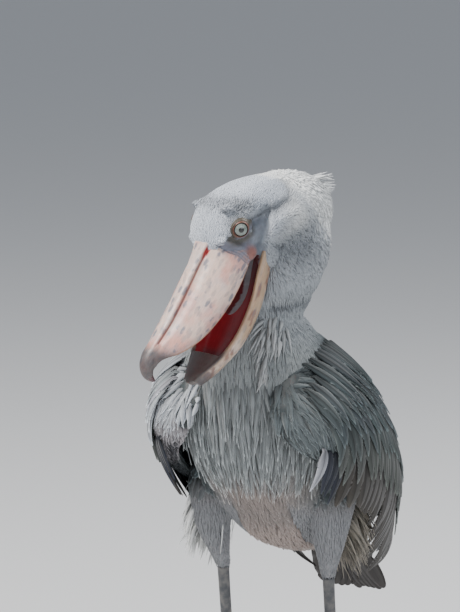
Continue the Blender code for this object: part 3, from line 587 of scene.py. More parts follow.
# %% Make the skin
VOXEL = 0.0032
level_forward = np.array([FORWARD[0], FORWARD[1], 0.0])
JAW_FORWARD = FORWARD * math.cos(MOUTH_ANGLE) - UP * math.sin(MOUTH_ANGLE)
JAW_UP = UP * math.cos(MOUTH_ANGLE) + FORWARD * math.sin(MOUTH_ANGLE)
skin_parts = [
    body_loft(TORSO_ROWS, 60, COAT_DEPTH["torso"]),
    body_loft([NECK_ROOT] + NECK_ROWS, 46, COAT_DEPTH["neck"], LEFT),
    head_loft(COAT_DEPTH["head"]),
    thigh_loft(1, COAT_DEPTH["thigh"]),
    thigh_loft(-1, COAT_DEPTH["thigh"]),
]
for sign in (1, -1):
    # The puffed cheek, the swelling behind it, the brow, the jaw's corner and the corner of the mouth
    skin_parts += [
        egg(at_head(-0.058, sign * 0.0290, -0.052), SKY * -0.057, LEFT * 0.0375, level_forward * 0.043),
        egg(at_head(-0.084, sign * 0.0330, -0.006), UP * 0.040, LEFT * 0.0330, FORWARD * 0.030),
        egg(at_head(-0.030, sign * 0.0300, 0.0650), (FORWARD + UP) * 0.0190, LEFT * 0.0085,
            (UP - FORWARD) * 0.0046),
        egg(at_jaw(-0.011, sign * 0.0385, -0.016), JAW_FORWARD * 0.0140, LEFT * 0.0060, JAW_UP * 0.0165),
        egg(at_head(0.002, sign * 0.0400, 0.004), FORWARD * 0.0150, LEFT * 0.0085, UP * 0.0130),
    ]
skin = remeshed("skin", skin_parts, VOXEL, 6)
skin_tree = tree_of(skin)
print("skin faces:", len(skin.data.polygons))

# %% [markdown]
# ## Where the face is bare
#
# A shoebill's face isn't feathered all over. Round the eye, down to the corner of the mouth and along
# the front of the puffed cheek the skin lies bare, folded and bluish. These zones are measured on the
# side of the head: one number runs across the cheek's front edge, the other along it.

# %% Zones of the face
CHEEK_EDGE = (-0.0264, 0.0006)          # a point of the cheek's front edge: along the bill, up
CHEEK_ACROSS = np.array([0.632, 0.775])
CHEEK_DOWN = np.array([0.775, -0.632])
CHEEK_FOOT = (0.869, 0.09)              # height of the crease under the cheek, and its rise to the back
FURROW = ((-0.022, 0.037), (-0.088, 0.014), (-0.120, 0.013))    # along the bill and up, from the eye back


def face_measures(points):
    """For points of the head: distance in front of the cheek's edge, place down it, and the head frame."""
    place = head_place(points)
    flat = place[:, [0, 2]] - np.array(CHEEK_EDGE)
    return flat @ CHEEK_ACROSS, flat @ CHEEK_DOWN, place


def level_place(along, up):
    """Turns places in the head's upright plane into level ones: backwards and upwards."""
    return -(along + up) * math.sqrt(0.5), (up - along) * math.sqrt(0.5)


def to_line(place, start, end):
    """How far along a line drawn on the head's side points are, 0 to 1, and how far away from it."""
    start, line = np.array(start), np.subtract(end, start)
    flat = place[:, [0, 2]] - start
    t = np.clip(flat @ line / (line @ line), 0.0, 1.0)
    return t, np.linalg.norm(flat - t[:, None] * line, axis=1)


def near_line(place, start, end, reach):
    """How near points of the head's sides are to a line drawn on it, 0 to 1."""
    return np.exp(-(to_line(place, start, end)[1] / reach) ** 2) * (np.abs(place[:, 1]) > 0.025)


def furrow(place):
    """How near points are to the furrow that runs back from the eye, 0 to 1."""
    t, away = to_line(place, FURROW[0], FURROW[1])
    made = np.exp(-(away / 0.0080) ** 2) * smooth_step(0.020, 0.030, np.abs(place[:, 1])) * (1.0 - 0.35 * t)
    return np.maximum(made, 0.45 * near_line(place, FURROW[1], FURROW[2], 0.0070))


def foot_height(points):
    """Height of the crease under the puffed cheek."""
    return CHEEK_FOOT[0] + CHEEK_FOOT[1] * (points[:, 1] + 0.10)


def cheek_foot(points):
    """How near points are to the crease under the puffed cheek, 0 to 1."""
    near = np.exp(-((points[:, 2] - foot_height(points)) / 0.0055) ** 2)
    return near * smooth_step(0.035, 0.050, points[:, 0]) * smooth_step(-0.150, -0.130, points[:, 1])


def bare_face(points):
    """How bare the skin is at each point: 1 on bare skin, 0 under feathers."""
    across, down, place = face_measures(points)
    along, side, up = place.T
    back, high = level_place(along - EYE[0], up - EYE[2])
    ring = 1.0 - smooth_step(0.75, 1.05, (back / 0.0155) ** 2 + ((high + 0.0030) / 0.0118) ** 2)
    lore = (smooth_step(-0.016, -0.010, along) * smooth_step(0.054, 0.048, up)
            * smooth_step(0.012, 0.018, across))
    wide = 0.010 + 0.020 * smooth_step(-0.046, -0.014, down)
    strip = smooth_step(-0.002, 0.001, across) * smooth_step(wide + 0.003, wide - 0.002, across)
    strip = strip * smooth_step(-0.036, -0.026, down)
    near = (np.abs(side) > 0.022) & (up > -0.09) & (along > -0.08) & (along < 0.05)
    return np.maximum(np.maximum(ring, lore), strip) * near


def in_mouth(points, slack=0.0):
    """True where a point lies between the open bill's two halves."""
    along, side, up = head_place(points).T
    below_upper = up < 0.003 + slack
    above_lower = jaw_turn(along, up, -MOUTH_ANGLE)[1] > -0.024 - slack
    return below_upper & above_lower & (along > -0.022) & (np.abs(side) < 0.0440 + slack)


def in_bill(points):
    """True where feathers would poke into the lower bill or hang in the open mouth."""
    along, side, up = head_place(points).T
    closed, high = jaw_turn(along, up, -MOUTH_ANGLE)
    row = table_at(LOWER_ROWS, np.clip(closed, *LOWER_ENDS))
    return ((closed > -0.016) & (closed < 0.205) & (np.abs(side) < row[:, 3] - 0.0030)
            & (high > row[:, 2] - 0.001) & (up < 0.004))


def shape_face(points, normals):
    """Presses the furrow and the bare skin's folds into the skin, and raises the cheek and the eye's socket."""
    across, down, place = face_measures(points)
    along, side, up = place.T
    bare = bare_face(points)
    socket = np.exp(-(((along - EYE[0]) / 0.022) ** 2 + ((up - EYE[2]) / 0.020) ** 2)) * (np.abs(side) > 0.02)
    puff = (smooth_step(0.001, -0.005, across) * smooth_step(-0.085, -0.030, across)
            * smooth_step(-0.070, -0.040, down) * smooth_step(0.022, 0.034, np.abs(side))
            * smooth_step(-0.001, 0.014, points[:, 2] - foot_height(points)))
    wave = np.sin(across / 0.0052 * 2 * math.pi + 1.6 * np.sin(down / 0.021)) * bare
    bag = (near_line(place, (0.024, 0.055), (0.006, 0.017), 0.0042)
           - 0.8 * near_line(place, (0.017, 0.058), (0.000, 0.022), 0.003))
    depth = (-0.0120 * furrow(place) - 0.0030 * cheek_foot(points) + 0.0030 * socket - 0.0022 * bare
             + 0.0080 * puff + 0.00055 * wave * (across > 0.02) + 0.0026 * bag)
    return points + normals * depth[:, None]


write_points(skin, shape_face(read_points(skin), read_normals(skin)))
skin_tree = tree_of(skin)
print("bare points on the face:", int((bare_face(read_points(skin)) > 0.5).sum()))

# %% [markdown]
# ## Colours of the plumage
#
# The head is pale blue-grey, the breast darker with streaks, the belly warm grey, and the wings slate.
# A function blends these over the body, and both the skin and the feathers ask it, so that they carry
# the same markings.

# %% Plumage colours
# Besides the plumage's own colours, some tints are painted light and shade: the darkest grey for the creases, the
# brow's grey round the eye, the blue-grey shade on the crown, and the brightest white on the lobe behind the
# cheek
TINTS = {name: linear(value) for name, value in {
    "crown": "#c6ccd5", "nape": "#e6e8e8", "cheek": "#adb2b8", "neck": "#a3a8ac", "breast": "#959a9b",
    "belly": "#a3948d", "mantle": "#4f595c", "thigh": "#8f9093", "vent": "#c6c2bc", "brow": "#6f7276",
    "ochre": "#4a463c", "lilac": "#6f7280", "strip": "#767c86", "gape": "#94655d", "mouth": "#641b20",
    "sunlit_lobe": "#eeefee", "crease_shade": "#45494f", "mottle": "#7d838a", "shade": "#959da8",
}.items()}


def blend(base, tint, amount):
    """Colours drawn towards a named tint, each by its own amount."""
    return base + (TINTS[tint] - base) * np.asarray(amount)[:, None]


def plumage(points):
    """The plumage's colour at points on the body, with painted shade in the head's creases, on the brow, round
    the eye and on the crown, and painted light on the lobe behind the cheek.
    """
    x, y, z = points.T
    place = head_place(points)
    along, side, up = place.T
    made = np.tile(TINTS["breast"], (len(points), 1))
    made = blend(made, "belly", smooth_step(0.66, 0.56, z))
    made = blend(made, "mantle", (smooth_step(-0.085, -0.02, y) * smooth_step(0.885, 0.81, z)
                                  * smooth_step(0.50, 0.60, z)))
    made = blend(made, "mantle", smooth_step(0.12, 0.20, y) * smooth_step(0.44, 0.50, z - 0.35 * (0.3 - y)))
    made = blend(made, "vent", smooth_step(0.06, 0.18, y) * smooth_step(0.60, 0.50, z) * 0.8)
    made = blend(made, "thigh", (np.abs(x) > 0.045) * smooth_step(0.60, 0.53, z))
    made = blend(made, "neck", smooth_step(0.79, 0.86, z))
    made = blend(made, "cheek", smooth_step(0.87, 0.93, z))
    made = blend(made, "crown",
                 smooth_step(-0.002, 0.014, up + 0.25 * (along + 0.05)) * smooth_step(0.9, 0.95, z))
    made = blend(made, "nape", smooth_step(-0.100, -0.112, along) * smooth_step(0.90, 0.97, z))
    # Painted shade along the brow, where its ruffled feathers overhang the eye
    back, high = level_place(along + 0.030, up - 0.065)
    made = blend(made, "brow", 0.75 * np.exp(-((back / 0.030) ** 2 + (high / 0.010) ** 2)))
    # Painted shade round the eye, deep under the brow
    round_eye = np.exp(-(np.hypot(along - EYE[0], up - EYE[2]) / 0.023) ** 4) * (np.abs(side) > 0.02)
    made = blend(made, "brow", 0.85 * round_eye)
    # Painted light: the pale lobe behind the cheek is painted brighter, as if sunlit
    sunlit_lobe = np.exp(-(((along + 0.078) / 0.026) ** 2 + ((up + 0.004) / 0.022) ** 2)) * (np.abs(side) > 0.02)
    made = blend(made, "sunlit_lobe", 0.8 * sunlit_lobe * smooth_step(0.90, 0.95, z))
    above_furrow = near_line(place, (-0.050, 0.040), (-0.104, 0.024), 0.020) * (1 - furrow(place))
    made = blend(made, "shade", 0.7 * above_furrow)
    mottle = np.exp(-(((along + 0.052) / 0.032) ** 2 + ((up + 0.040) / 0.028) ** 2)) * (np.abs(side) > 0.03)
    made = blend(made, "mottle", 0.65 * mottle * (z > 0.88))
    # Painted shade in the furrow behind the eye and in the crease under the puffed cheek
    made = blend(made, "crease_shade", 0.85 * furrow(place))
    made = blend(made, "crease_shade", 0.60 * cheek_foot(points))
    return made


def skin_colour(points):
    """The skin's colour: the plumage's own under the coat, and the bare face's and the mouth's."""
    across, _, place = face_measures(points)
    along, side, up = place.T
    made = plumage(points) * 0.88
    bare = bare_face(points)
    face = np.tile(TINTS["strip"], (len(points), 1))
    face = blend(face, "lilac", smooth_step(0.018, 0.028, across) * smooth_step(-0.02, 0.0, along))
    eye_far = np.hypot((along + 0.008) / 1.15, up - 0.0465)
    face = blend(face, "ochre", 0.9 * smooth_step(0.028, 0.018, eye_far))
    face = blend(face, "gape", smooth_step(0.016, 0.004, np.hypot(along - 0.004, up - 0.006)))
    made = made + (face - made) * bare[:, None]
    closed, high = jaw_turn(along, up, -MOUTH_ANGLE)
    row = table_at(LOWER_ROWS, np.clip(closed, *LOWER_ENDS))
    throat = ((closed > -0.016) & (high > row[:, 2] + 0.004) & (np.abs(side) < row[:, 3] - 0.008)
              & (up < 0.010))
    throat = throat | (in_mouth(points, 0.006) & (high > -0.026))
    made[throat & (np.abs(side) < 0.0375)] = TINTS["mouth"]
    return made


points = read_points(skin)
give_colour(skin, "plumage", skin_colour(points))
print("plumage is painted on", len(points), "points of the skin")

# %% [markdown]
# ## Bare skin
#
# Bare skin is finely pebbled and a little moist. Bump from two sizes of cells gives the pebbles, and
# some light goes in under the surface.

# %% Skin material
def skin_material():
    """Bare skin in the skin's own colours."""
    material, tree, shader = new_material("bare_skin")
    place = add(tree, "ShaderNodeTexCoord").outputs["Object"]
    pebbles = cells_at(tree, place, 1.6)["Distance"]
    shade = ramp(tree, noise_at(tree, place, 9, 4.0), 0.3, 0.7, 0.72, 1.18, "LINEAR")
    paint(tree, shader, scaled(tree, vertex_colour(tree, "plumage"), shade), pebbles, 0.5, 0.35)
    shader.inputs["Roughness"].default_value = 0.52
    shader.inputs["Subsurface Weight"].default_value = 0.06
    shader.inputs["Subsurface Scale"].default_value = 0.004
    return material


BARE_SKIN = skin_material()
dress(skin, BARE_SKIN)

# %% [markdown]
# ## The bill
#
# The bill is a light shell of bone under horn: a raised ridge with a groove on each side, broad bowed
# flanks, sharp edges and a nail that hooks over the tip. It is lofted from the solids' own rows with
# many more points, fused, and then its grooves and nostrils are pressed in.

# %% Bill rows
# Each row: along the bill, top of the ridge, cutting edge, half width
UPPER_ROWS = [
    (-0.030, 0.058, 0.006, 0.034), (0.000, 0.064, 0.002, 0.043), (0.020, 0.062, -0.002, 0.0445),
    (0.050, 0.055, -0.007, 0.0460), (0.085, 0.049, -0.0095, 0.0465), (0.120, 0.0435, -0.0085, 0.0440),
    (0.155, 0.0395, -0.003, 0.0390), (0.185, 0.037, 0.007, 0.0290), (0.208, 0.035, 0.018, 0.0165),
    (0.220, 0.0325, 0.014, 0.0085),
]
# Rows of the two nails: along, side, up, half width, half height
HOOK_ROWS = [
    (0.190, 0.0, 0.0275, 0.0135, 0.0090), (0.212, 0.0, 0.0255, 0.0125, 0.0102),
    (0.2225, 0.0, 0.0205, 0.0108, 0.0098), (0.2290, 0.0, 0.0105, 0.0080, 0.0070),
    (0.2290, 0.0, 0.001, 0.0045, 0.0040), (0.2270, 0.0, -0.005, 0.0016, 0.0014),
]
LOWER_NAIL = [(0.150, 0.0, -0.012, 0.030, 0.012), (0.172, 0.0, -0.006, 0.0235, 0.011),
              (0.190, 0.0, 0.001, 0.0140, 0.0095), (0.200, 0.0, 0.005, 0.0050, 0.0055)]
RIDGE_WIDTH, RIDGE_HEIGHT, BILL_WALL, RAMUS = 0.0095, 0.0065, 0.0060, 0.0085
UPPER_VOXEL, LOWER_VOXEL = 0.0011, 0.0012


def smooth_outline(corners, count):
    """A closed outline of corners, drawn again as a smooth curve of evenly spaced points."""
    corners = np.asarray(corners, float)
    closed = np.concatenate([corners, corners[:1]])
    knots = np.concatenate([[0.0], np.cumsum(np.linalg.norm(np.diff(closed, axis=0), axis=1))])
    return read_curve(knots, closed, np.linspace(0.0, knots[-1], count, endpoint=False))


def ridge_spread(along):
    """How much broader the ridge is towards the face."""
    return 1.0 + 0.7 * smooth_step(0.065, 0.010, along)


def upper_outline(ridge, edge, width, spread):
    """The upper bill cut across: ridge, groove, flank, cutting edge and hollow underside."""
    narrow = min(1.0, width / 0.04)
    crest = RIDGE_WIDTH * (0.55 + 0.45 * narrow) * spread
    low_side = ridge - RIDGE_HEIGHT * narrow
    deep = low_side - edge
    half = [
        (crest * 0.45, ridge), (crest * 0.95, ridge - 0.0018 * narrow), (crest * 1.12, low_side),
        (crest + (width - crest) * 0.42, low_side - 0.18 * deep),
        (crest + (width - crest) * 0.80, low_side - 0.47 * deep),
        (width, edge + 0.20 * deep), (width * 0.985, edge),
        (width * 0.985 - 0.5 * BILL_WALL * narrow, edge - 0.0004),
        (width * 0.97 - BILL_WALL * narrow, edge + 0.003 * narrow), (width * 0.55, edge + 0.34 * deep),
    ]
    return half + [(0.0, edge + 0.26 * deep)] + [(-s, u) for s, u in reversed(half)]


def curved_nail(rows, count, around, place):
    """A round horn that follows a bent middle line in a frame's own upright plane."""
    read = spline(rows, count)
    rings = []
    for i, row in enumerate(read):
        step = read[min(i + 1, count - 1)][:3] - read[max(i - 1, 0)][:3]
        a, u = unit(np.array([step[0], step[2]]))
        side, high = np.cos(circle(around)) * row[3], np.sin(circle(around)) * row[4]
        rings.append(place(row[0] - u * high, side, row[2] + a * high))
    return loft(rings)


def make_upper_bill():
    """Rings of the upper bill and its hook, fused."""
    rings = []
    for along, ridge, edge, width in table_at(UPPER_ROWS, np.linspace(UPPER_ROWS[0][0], 0.220, 90)):
        outline = smooth_outline(upper_outline(ridge, edge, width, float(ridge_spread(along))), 96)
        rings.append(at_head(np.full(96, along), outline[:, 0], outline[:, 1]))
    parts = [loft(rings), curved_nail(HOOK_ROWS, 30, 24, at_head)]
    return remeshed("bill_upper_horn", parts, UPPER_VOXEL, 4)


def groove_side(along):
    """How far beside the middle the groove at the foot of the ridge runs."""
    width = table_at(UPPER_ROWS, along)[:, 3]
    narrow = np.minimum(1.0, width / 0.04)
    return RIDGE_WIDTH * (0.55 + 0.45 * narrow) * 1.13 * ridge_spread(along)


def horn_starts(up, side):
    """Where horn takes over from the soft skin at the bill's base, along the bill."""
    middle = smooth_step(0.030, 0.020, np.abs(side))
    return 0.0205 + 0.18 * (up - 0.005) + 0.0008 * np.sin(up / 0.0045) - 0.02 * middle


def finish_upper_bill(bill):
    """Presses grooves and nostrils in, and marks the zones of colour."""
    points, normals = read_points(bill), read_normals(bill)
    along, side, up = head_place(points).T
    row = table_at(UPPER_ROWS, along)
    ridge, edge, width = row[:, 1], row[:, 2], row[:, 3]
    outer = smooth_step(-0.35, 0.05, normals @ UP + 0.6 * (np.abs(side) > width * 0.86))
    beside = np.abs(np.abs(side) - groove_side(along))
    on_top = up > edge + 0.4 * (ridge - edge)
    groove = np.exp(-(beside / 0.0008) ** 2) * on_top * smooth_step(0.202, 0.185, along)
    slit = np.exp(-(beside / 0.0015) ** 2) * smooth_step(0.016, 0.022, along) * smooth_step(0.056, 0.040, along)
    slit = slit * on_top
    growth = np.sin(along / 0.0135 * 2 * math.pi + 2.2 * np.sin(side / 0.016)) * 0.00010
    line = horn_starts(up, side)
    base = smooth_step(0.0012, -0.0012, along - line)
    folds = np.sin((along - line) / 0.0044 * 2 * math.pi + 1.2 * np.sin(up / 0.012)) * 0.0005 * base
    groove, growth = groove * (1 - base), growth * (1 - base)
    depth = -0.0008 * groove - 0.0030 * slit + growth * outer - 0.0014 * base * outer + folds * outer
    write_points(bill, points + normals * depth[:, None])
    rim = smooth_step(0.0045, 0.0015, up - edge) * smooth_step(0.80, 0.92, np.abs(side) / width)
    rim = rim * (along < 0.21)
    inside = 1.0 - outer
    nail = smooth_step(0.188, 0.210, along + 0.3 * np.abs(side))
    give_vector(bill, "place", head_place(points))
    give_colour(bill, "zones", np.stack([inside, np.clip(groove + slit, 0, 1), rim], axis=1))
    give_colour(bill, "ends", np.stack([nail, base * outer, slit], axis=1))


def ramus_outline(top, low, width):
    """One branch of the lower bill cut across."""
    inner = max(width - RAMUS, 0.0)
    return [
        (inner + 0.001, top - 0.001), (width - 0.002, top), (width, top - 0.004),
        (width * 0.985, top - 0.012), (width * 0.93, (top + low) / 2 - 0.004), (width * 0.72, low),
        (max(width * 0.72 - RAMUS * 0.9, 0.0), low + 0.002),
        (max(inner * 0.86, 0.0), (top + low) / 2 - 0.002),
    ]


def make_lower_bill():
    """Two branches, the nail that joins them and the pouch's floor between them."""
    parts = []
    read = table_at(LOWER_ROWS, np.linspace(*LOWER_ENDS, 80))
    for sign in SIDE_WORD:
        rings = []
        for along, top, low, width in read:
            outline = smooth_outline(ramus_outline(top, low, width), 48)
            rings.append(at_jaw(np.full(48, along), sign * outline[:, 0], outline[:, 1]))
        parts.append(loft(rings))
    c, s = np.cos(circle(40)), np.sin(circle(40))
    parts.append(loft([at_jaw(np.full(40, row[0]), c * row[3], row[2] + s * row[4])
                       for row in spline(LOWER_NAIL, 24)]))
    rings = []
    for along, top, low, width in table_at(LOWER_ROWS, np.linspace(-0.012, 0.180, 60)):
        reach, deep = width * 0.80, low - 0.004
        side = np.linspace(-reach, reach, 30)
        under = deep + 0.010 * (side / reach) ** 2
        over = deep + 0.0055 + 0.0105 * (side / reach) ** 2
        rings.append(at_jaw(np.full(60, along), np.concatenate([side, side[::-1] * 0.97]),
                            np.concatenate([under, over[::-1]])))
    parts.append(loft(rings))
    return remeshed("bill_lower_horn", parts, LOWER_VOXEL, 4)


def finish_lower_bill(bill):
    """Presses the pouch's folds in, and marks the zones of colour."""
    points, normals = read_points(bill), read_normals(bill)
    along, side, up = head_place(points).T
    closed, high = jaw_turn(along, up, -MOUTH_ANGLE)
    row = table_at(LOWER_ROWS, closed)
    top, width = row[:, 1], row[:, 3]
    upward = normals @ JAW_UP
    inward = smooth_step(0.1, 0.5, -np.sign(side) * (normals @ LEFT) + 0.8 * upward)
    inside = inward * (np.abs(side) < width - 0.002) * (high < top - 0.0015)
    folds = np.sin(side / 0.0058 * 2 * math.pi) * 0.00035 * smooth_step(0.17, 0.12, closed)
    pouch = (np.abs(side) < width * 0.70) * smooth_step(0.2, 0.6, np.abs(upward))
    growth = np.sin(closed / 0.012 * 2 * math.pi + 2.0 * np.sin(high / 0.010)) * 0.00010
    write_points(bill, points + normals * ((folds * pouch + growth) * (1 - inside))[:, None])
    rim = smooth_step(0.0050, 0.0012, top - high) * (1 - inside)
    under = smooth_step(0.3, 0.75, -upward) * (np.abs(side) < width * 0.74)
    give_vector(bill, "place", np.stack([closed, side, high], axis=1))
    give_colour(bill, "zones", np.stack([inside, under * smooth_step(0.185, 0.165, closed), rim], axis=1))
    top = smooth_step(0.15, 0.55, upward)
    nail = np.maximum(smooth_step(0.128, 0.152, closed) * top, smooth_step(0.160, 0.192, closed))
    give_colour(bill, "ends", np.stack([nail, smooth_step(0.016, 0.002, closed), top], axis=1))


# %% Make the bill
bill_upper = make_upper_bill()
finish_upper_bill(bill_upper)
bill_lower = make_lower_bill()
finish_lower_bill(bill_lower)
print("bill faces:", len(bill_upper.data.polygons), len(bill_lower.data.polygons))

# %% [markdown]
# ## Bill horn
#
# Horn (keratin) that has grown in thin sheets: ivory with a flush of pink, speckled with slate in
# streaks that run along the bill, brown at the cutting edge and darker at the nail. It is satin, and
# some light scatters inside it. The mouth's lining is wet, dark red skin.

# %% Horn material
HORN = {
    "ivory": "#dcc8bb", "flush": "#d49c8d", "slate": "#6d707c", "blue": "#a9adb8", "groove": "#7d4a40",
    "rim": "#9a6f52", "nail": "#49474a", "mouth": "#a02c33", "throat": "#6a1c21", "tan": "#bb9d80",
    "brown": "#85594d", "pouch": "#8e7b74", "wound": "#b3161c", "skin": "#848492", "pink": "#a3837e",
}


def bill_noise(tree, place, size_mm, stretch, detail=3.0, distortion=0.0):
    """Noise with cells of a size in millimetres, drawn out along the bill."""
    drawn = add(tree, "ShaderNodeVectorMath", {"operation": "MULTIPLY"}, {0: place, 1: (1.0 / stretch, 1.0, 1.0)})
    return add(tree, "ShaderNodeTexNoise", {}, {
        "Vector": drawn.outputs["Vector"], "Scale": 1.0 / (size_mm * MM), "Detail": detail,
        "Distortion": distortion}).outputs["Fac"]


def slate_specks(tree, place, clouds):
    """Ragged specks: cells with bent edges, drawn out along the bill, only some of them dark."""
    bent = add(tree, "ShaderNodeTexNoise", {}, {"Vector": place, "Scale": 1.0 / (3 * MM), "Detail": 3.0})
    bent = add(tree, "ShaderNodeVectorMath", {"operation": "MULTIPLY_ADD"},
               {0: bent.outputs["Color"], 1: (0.004, 0.0022, 0.0022), 2: place})
    drawn = add(tree, "ShaderNodeVectorMath", {"operation": "MULTIPLY"},
                {0: bent.outputs["Vector"], 1: (1 / 2.7, 1, 1)})
    cells = cells_at(tree, drawn.outputs["Vector"], 6.0)
    chosen = add(tree, "ShaderNodeSeparateColor", {}, {0: cells["Color"]}).outputs[0]
    return times(tree, ramp(tree, cells["Distance"], 0.58, 0.34), ramp(tree, chosen, 0.26, 0.40),
                 ramp(tree, clouds, 0.0, 1.0, 0.40, 1.0))


def horn_material(name, lower):
    """Horn outside and wet lining inside, for the upper or the lower half of the bill."""
    material, tree, shader = new_material(name)
    place = add(tree, "ShaderNodeAttribute", {"attribute_name": "place"}).outputs["Vector"]
    zones, ends = channels(tree, "zones"), channels(tree, "ends")

    def noise(*sizes):
        return bill_noise(tree, place, *sizes)

    def over(fac, below, above):
        """A colour over another, each a name of a horn colour or a node's output."""
        return mix(tree, fac, *(HORN[v] if isinstance(v, str) else v for v in (below, above)))

    flush = ramp(tree, noise(34, 1.6), 0.42, 0.66)
    clouds = ramp(tree, noise(22, 1.4, 3.0), 0.42, 0.56)
    specks = slate_specks(tree, place, clouds)
    if lower:
        colour = over(flush, "tan", "ivory")
        colour = over(times(tree, ramp(tree, noise(17, 1.8, 4.0, 0.6), 0.50, 0.60), 0.75), colour, "brown")
        colour = over(times(tree, specks, 0.35), colour, "slate")
        colour = over(zones[1], colour, "pouch")
        colour = over(zones[2], colour, "tan")
    else:
        colour = over(ramp(tree, flush, 0.0, 1.0, 0.25, 0.95), "ivory", "flush")
        colour = over(times(tree, clouds, 0.22), colour, "blue")
        colour = over(times(tree, specks, 0.80), colour, "slate")
        colour = over(zones[1], colour, "groove")
        colour = over(times(tree, zones[2], 0.85), colour, "rim")
        colour = over(ends[2], colour, "wound")
    colour = over(times(tree, ends[0], 0.9), colour, "nail")
    along = add(tree, "ShaderNodeSeparateXYZ", {}, {0: place}).outputs[0]
    # Painted shade: the lining darkens from the mouth's red to the throat's dark red deeper in
    lining = over(ramp(tree, along, 0.010, 0.080), "throat", "mouth")
    lining = over(times(tree, ends[0], 0.85), lining, "nail")
    colour = over(zones[0], colour, lining)
    if not lower:
        soft = over(ramp(tree, noise(7, 1.0), 0.30, 0.75), "skin", "pink")
        colour = over(ends[1], colour, soft)
    shade = ramp(tree, noise(1.6, 6.0, 3.0), 0.3, 0.7, 0.90, 1.07)
    paint(tree, shader, scaled(tree, colour, shade), noise(2.4, 7.0, 4.0), 0.45, 0.3)
    tree.links.new(ramp(tree, zones[0], 0.0, 1.0, 0.44, 0.20), shader.inputs["Roughness"])
    shader.inputs["IOR"].default_value = 1.54
    shader.inputs["Subsurface Weight"].default_value = 0.10
    shader.inputs["Subsurface Scale"].default_value = 0.003
    return material


dress(bill_upper, horn_material("bill_keratin", False))
dress(bill_lower, horn_material("bill_keratin_lower", True))

# %% [markdown]
# ## Eyes and lids
#
# The eye is a wet ball with a pale grey-green iris round a black pupil, almost filling the opening. The
# lids are rings of thick folded skin. Each is a patch of points in circles round the eye's axis whose
# outer edge sinks into the skin.

# %% Eyes
EYE_RADIUS = 0.0138
EYE_FLATNESS = 0.93
LID_OPENING = 0.0098
LID_REACH = (0.0172, 0.0030)            # outer edge of the lids above and below, and more at the corners


def eye_frame(sign):
    """Centre and axes of an eye: out of the head, level and upwards."""
    out = unit(LEFT * (sign * 0.80) + FORWARD * 0.42 + UP * 0.30)
    high = unit(UP - out * (UP @ out))
    level = np.cross(high, out)
    return at_head(EYE[0], sign * EYE[1], EYE[2]), out, level, high


def make_eye(sign):
    """An eyeball, a little flattened, with the clear bulge over its pupil."""
    centre, out, level, high = eye_frame(sign)
    c, s = np.cos(circle(64)), np.sin(circle(64))
    rings, places = [], []
    for angle in np.linspace(0.02, math.pi - 0.02, 48):
        radius = EYE_RADIUS * math.sin(angle)
        bulge = 0.0006 * math.exp(-(radius / 0.0070) ** 2) if angle < math.pi / 2 else 0.0
        flat = EYE_RADIUS * math.cos(angle) * EYE_FLATNESS + bulge
        rings.append(centre + out * flat + np.outer(c * radius, level) + np.outer(s * radius, high))
        places.append(np.stack([c * radius, s * radius, np.full(64, flat)], axis=1))
    points, faces = loft(rings)
    local = np.concatenate([np.concatenate(places), [(0, 0, EYE_RADIUS), (0, 0, -EYE_RADIUS)]])
    return mesh_object(f"eyeball_{SIDE_WORD[sign]}", points, faces, vectors={"eye": local})


def make_lids(sign):
    """Rings of folded skin from the opening's margin out to where they sink into the skin."""
    centre, out, level, high = eye_frame(sign)
    turns, steps = 120, 34
    turn = circle(turns)
    grid, place = np.empty((2, steps, turns, 3))
    lift = np.sin(turn)
    inner = LID_OPENING * (1.0 - 0.06 * np.clip(lift, 0, 1) ** 2)
    outer = LID_REACH[0] + LID_REACH[1] * np.cos(turn) ** 2
    tops = np.empty(turns)
    for k in range(turns):
        spoke = level * math.cos(turn[k]) + high * math.sin(turn[k])
        start = centre + spoke * outer[k] + out * 0.05
        hit = skin_tree.ray_cast(Vector(start), Vector(-out))[0]
        tops[k] = (np.array(hit) - centre) @ out if hit is not None else 0.004
    tops = np.clip(tops, -0.004, 0.014)
    for _ in range(3):
        tops = (np.roll(tops, 1) + tops + np.roll(tops, -1)) / 3
    edge = np.sqrt(EYE_RADIUS**2 - inner**2) * EYE_FLATNESS
    proud = 1.0 if sign > 0 else 0.4        # the far eye is hidden but for its edge, and its lids lie low
    for i in range(steps):
        t = i / (steps - 1)
        radius = inner + (outer - inner) * t
        roll = 0.0013 * math.exp(-((t - 0.10) / 0.075) ** 2)
        fold = 0.0011 * math.exp(-((t - 0.38) / 0.10) ** 2) * (1 + 0.25 * np.sin(3 * turn + 0.7))
        crease = 0.0006 * math.exp(-((t - 0.66) / 0.08) ** 2) * (1 - 0.6 * lift)
        hood = 0.0022 * np.clip(lift, 0, 1) ** 1.5 * math.exp(-((t - 0.45) / 0.25) ** 2)
        wrinkle = 0.00022 * np.sin(turn * 26 + 4 * t) * smooth_step(0.1, 0.4, t) * smooth_step(1.0, 0.7, t)
        lay = smooth_step(0.05, 1.0, t)
        rise = ((edge - 0.0004) * (1 - lay) + (tops - 0.0026) * lay
                + (roll + fold + crease + hood + wrinkle) * proud)
        rise = edge - 0.0012 if i == 0 else rise
        grid[i] = (centre + out * rise[:, None] + np.outer(np.cos(turn) * radius, level)
                   + np.outer(np.sin(turn) * radius, high))
        place[i] = np.stack([np.full(turns, t), lift, np.cos(turn)], axis=1)
    i, k = np.meshgrid(np.arange(steps - 1), np.arange(turns), indexing="ij")
    a, b = i * turns + k, i * turns + (k + 1) % turns
    quads = np.stack([a, a + turns, b + turns, b], axis=-1).reshape(-1, 4)
    points = grid.reshape(-1, 3)
    corner = points[quads[0]]
    normal = np.cross(corner[1] - corner[0], corner[3] - corner[0])
    quads = quads if normal @ out > 0 else quads[:, ::-1]
    return mesh_object(f"lids_{SIDE_WORD[sign]}", points, quads, vectors={"lid": place.reshape(-1, 3)})


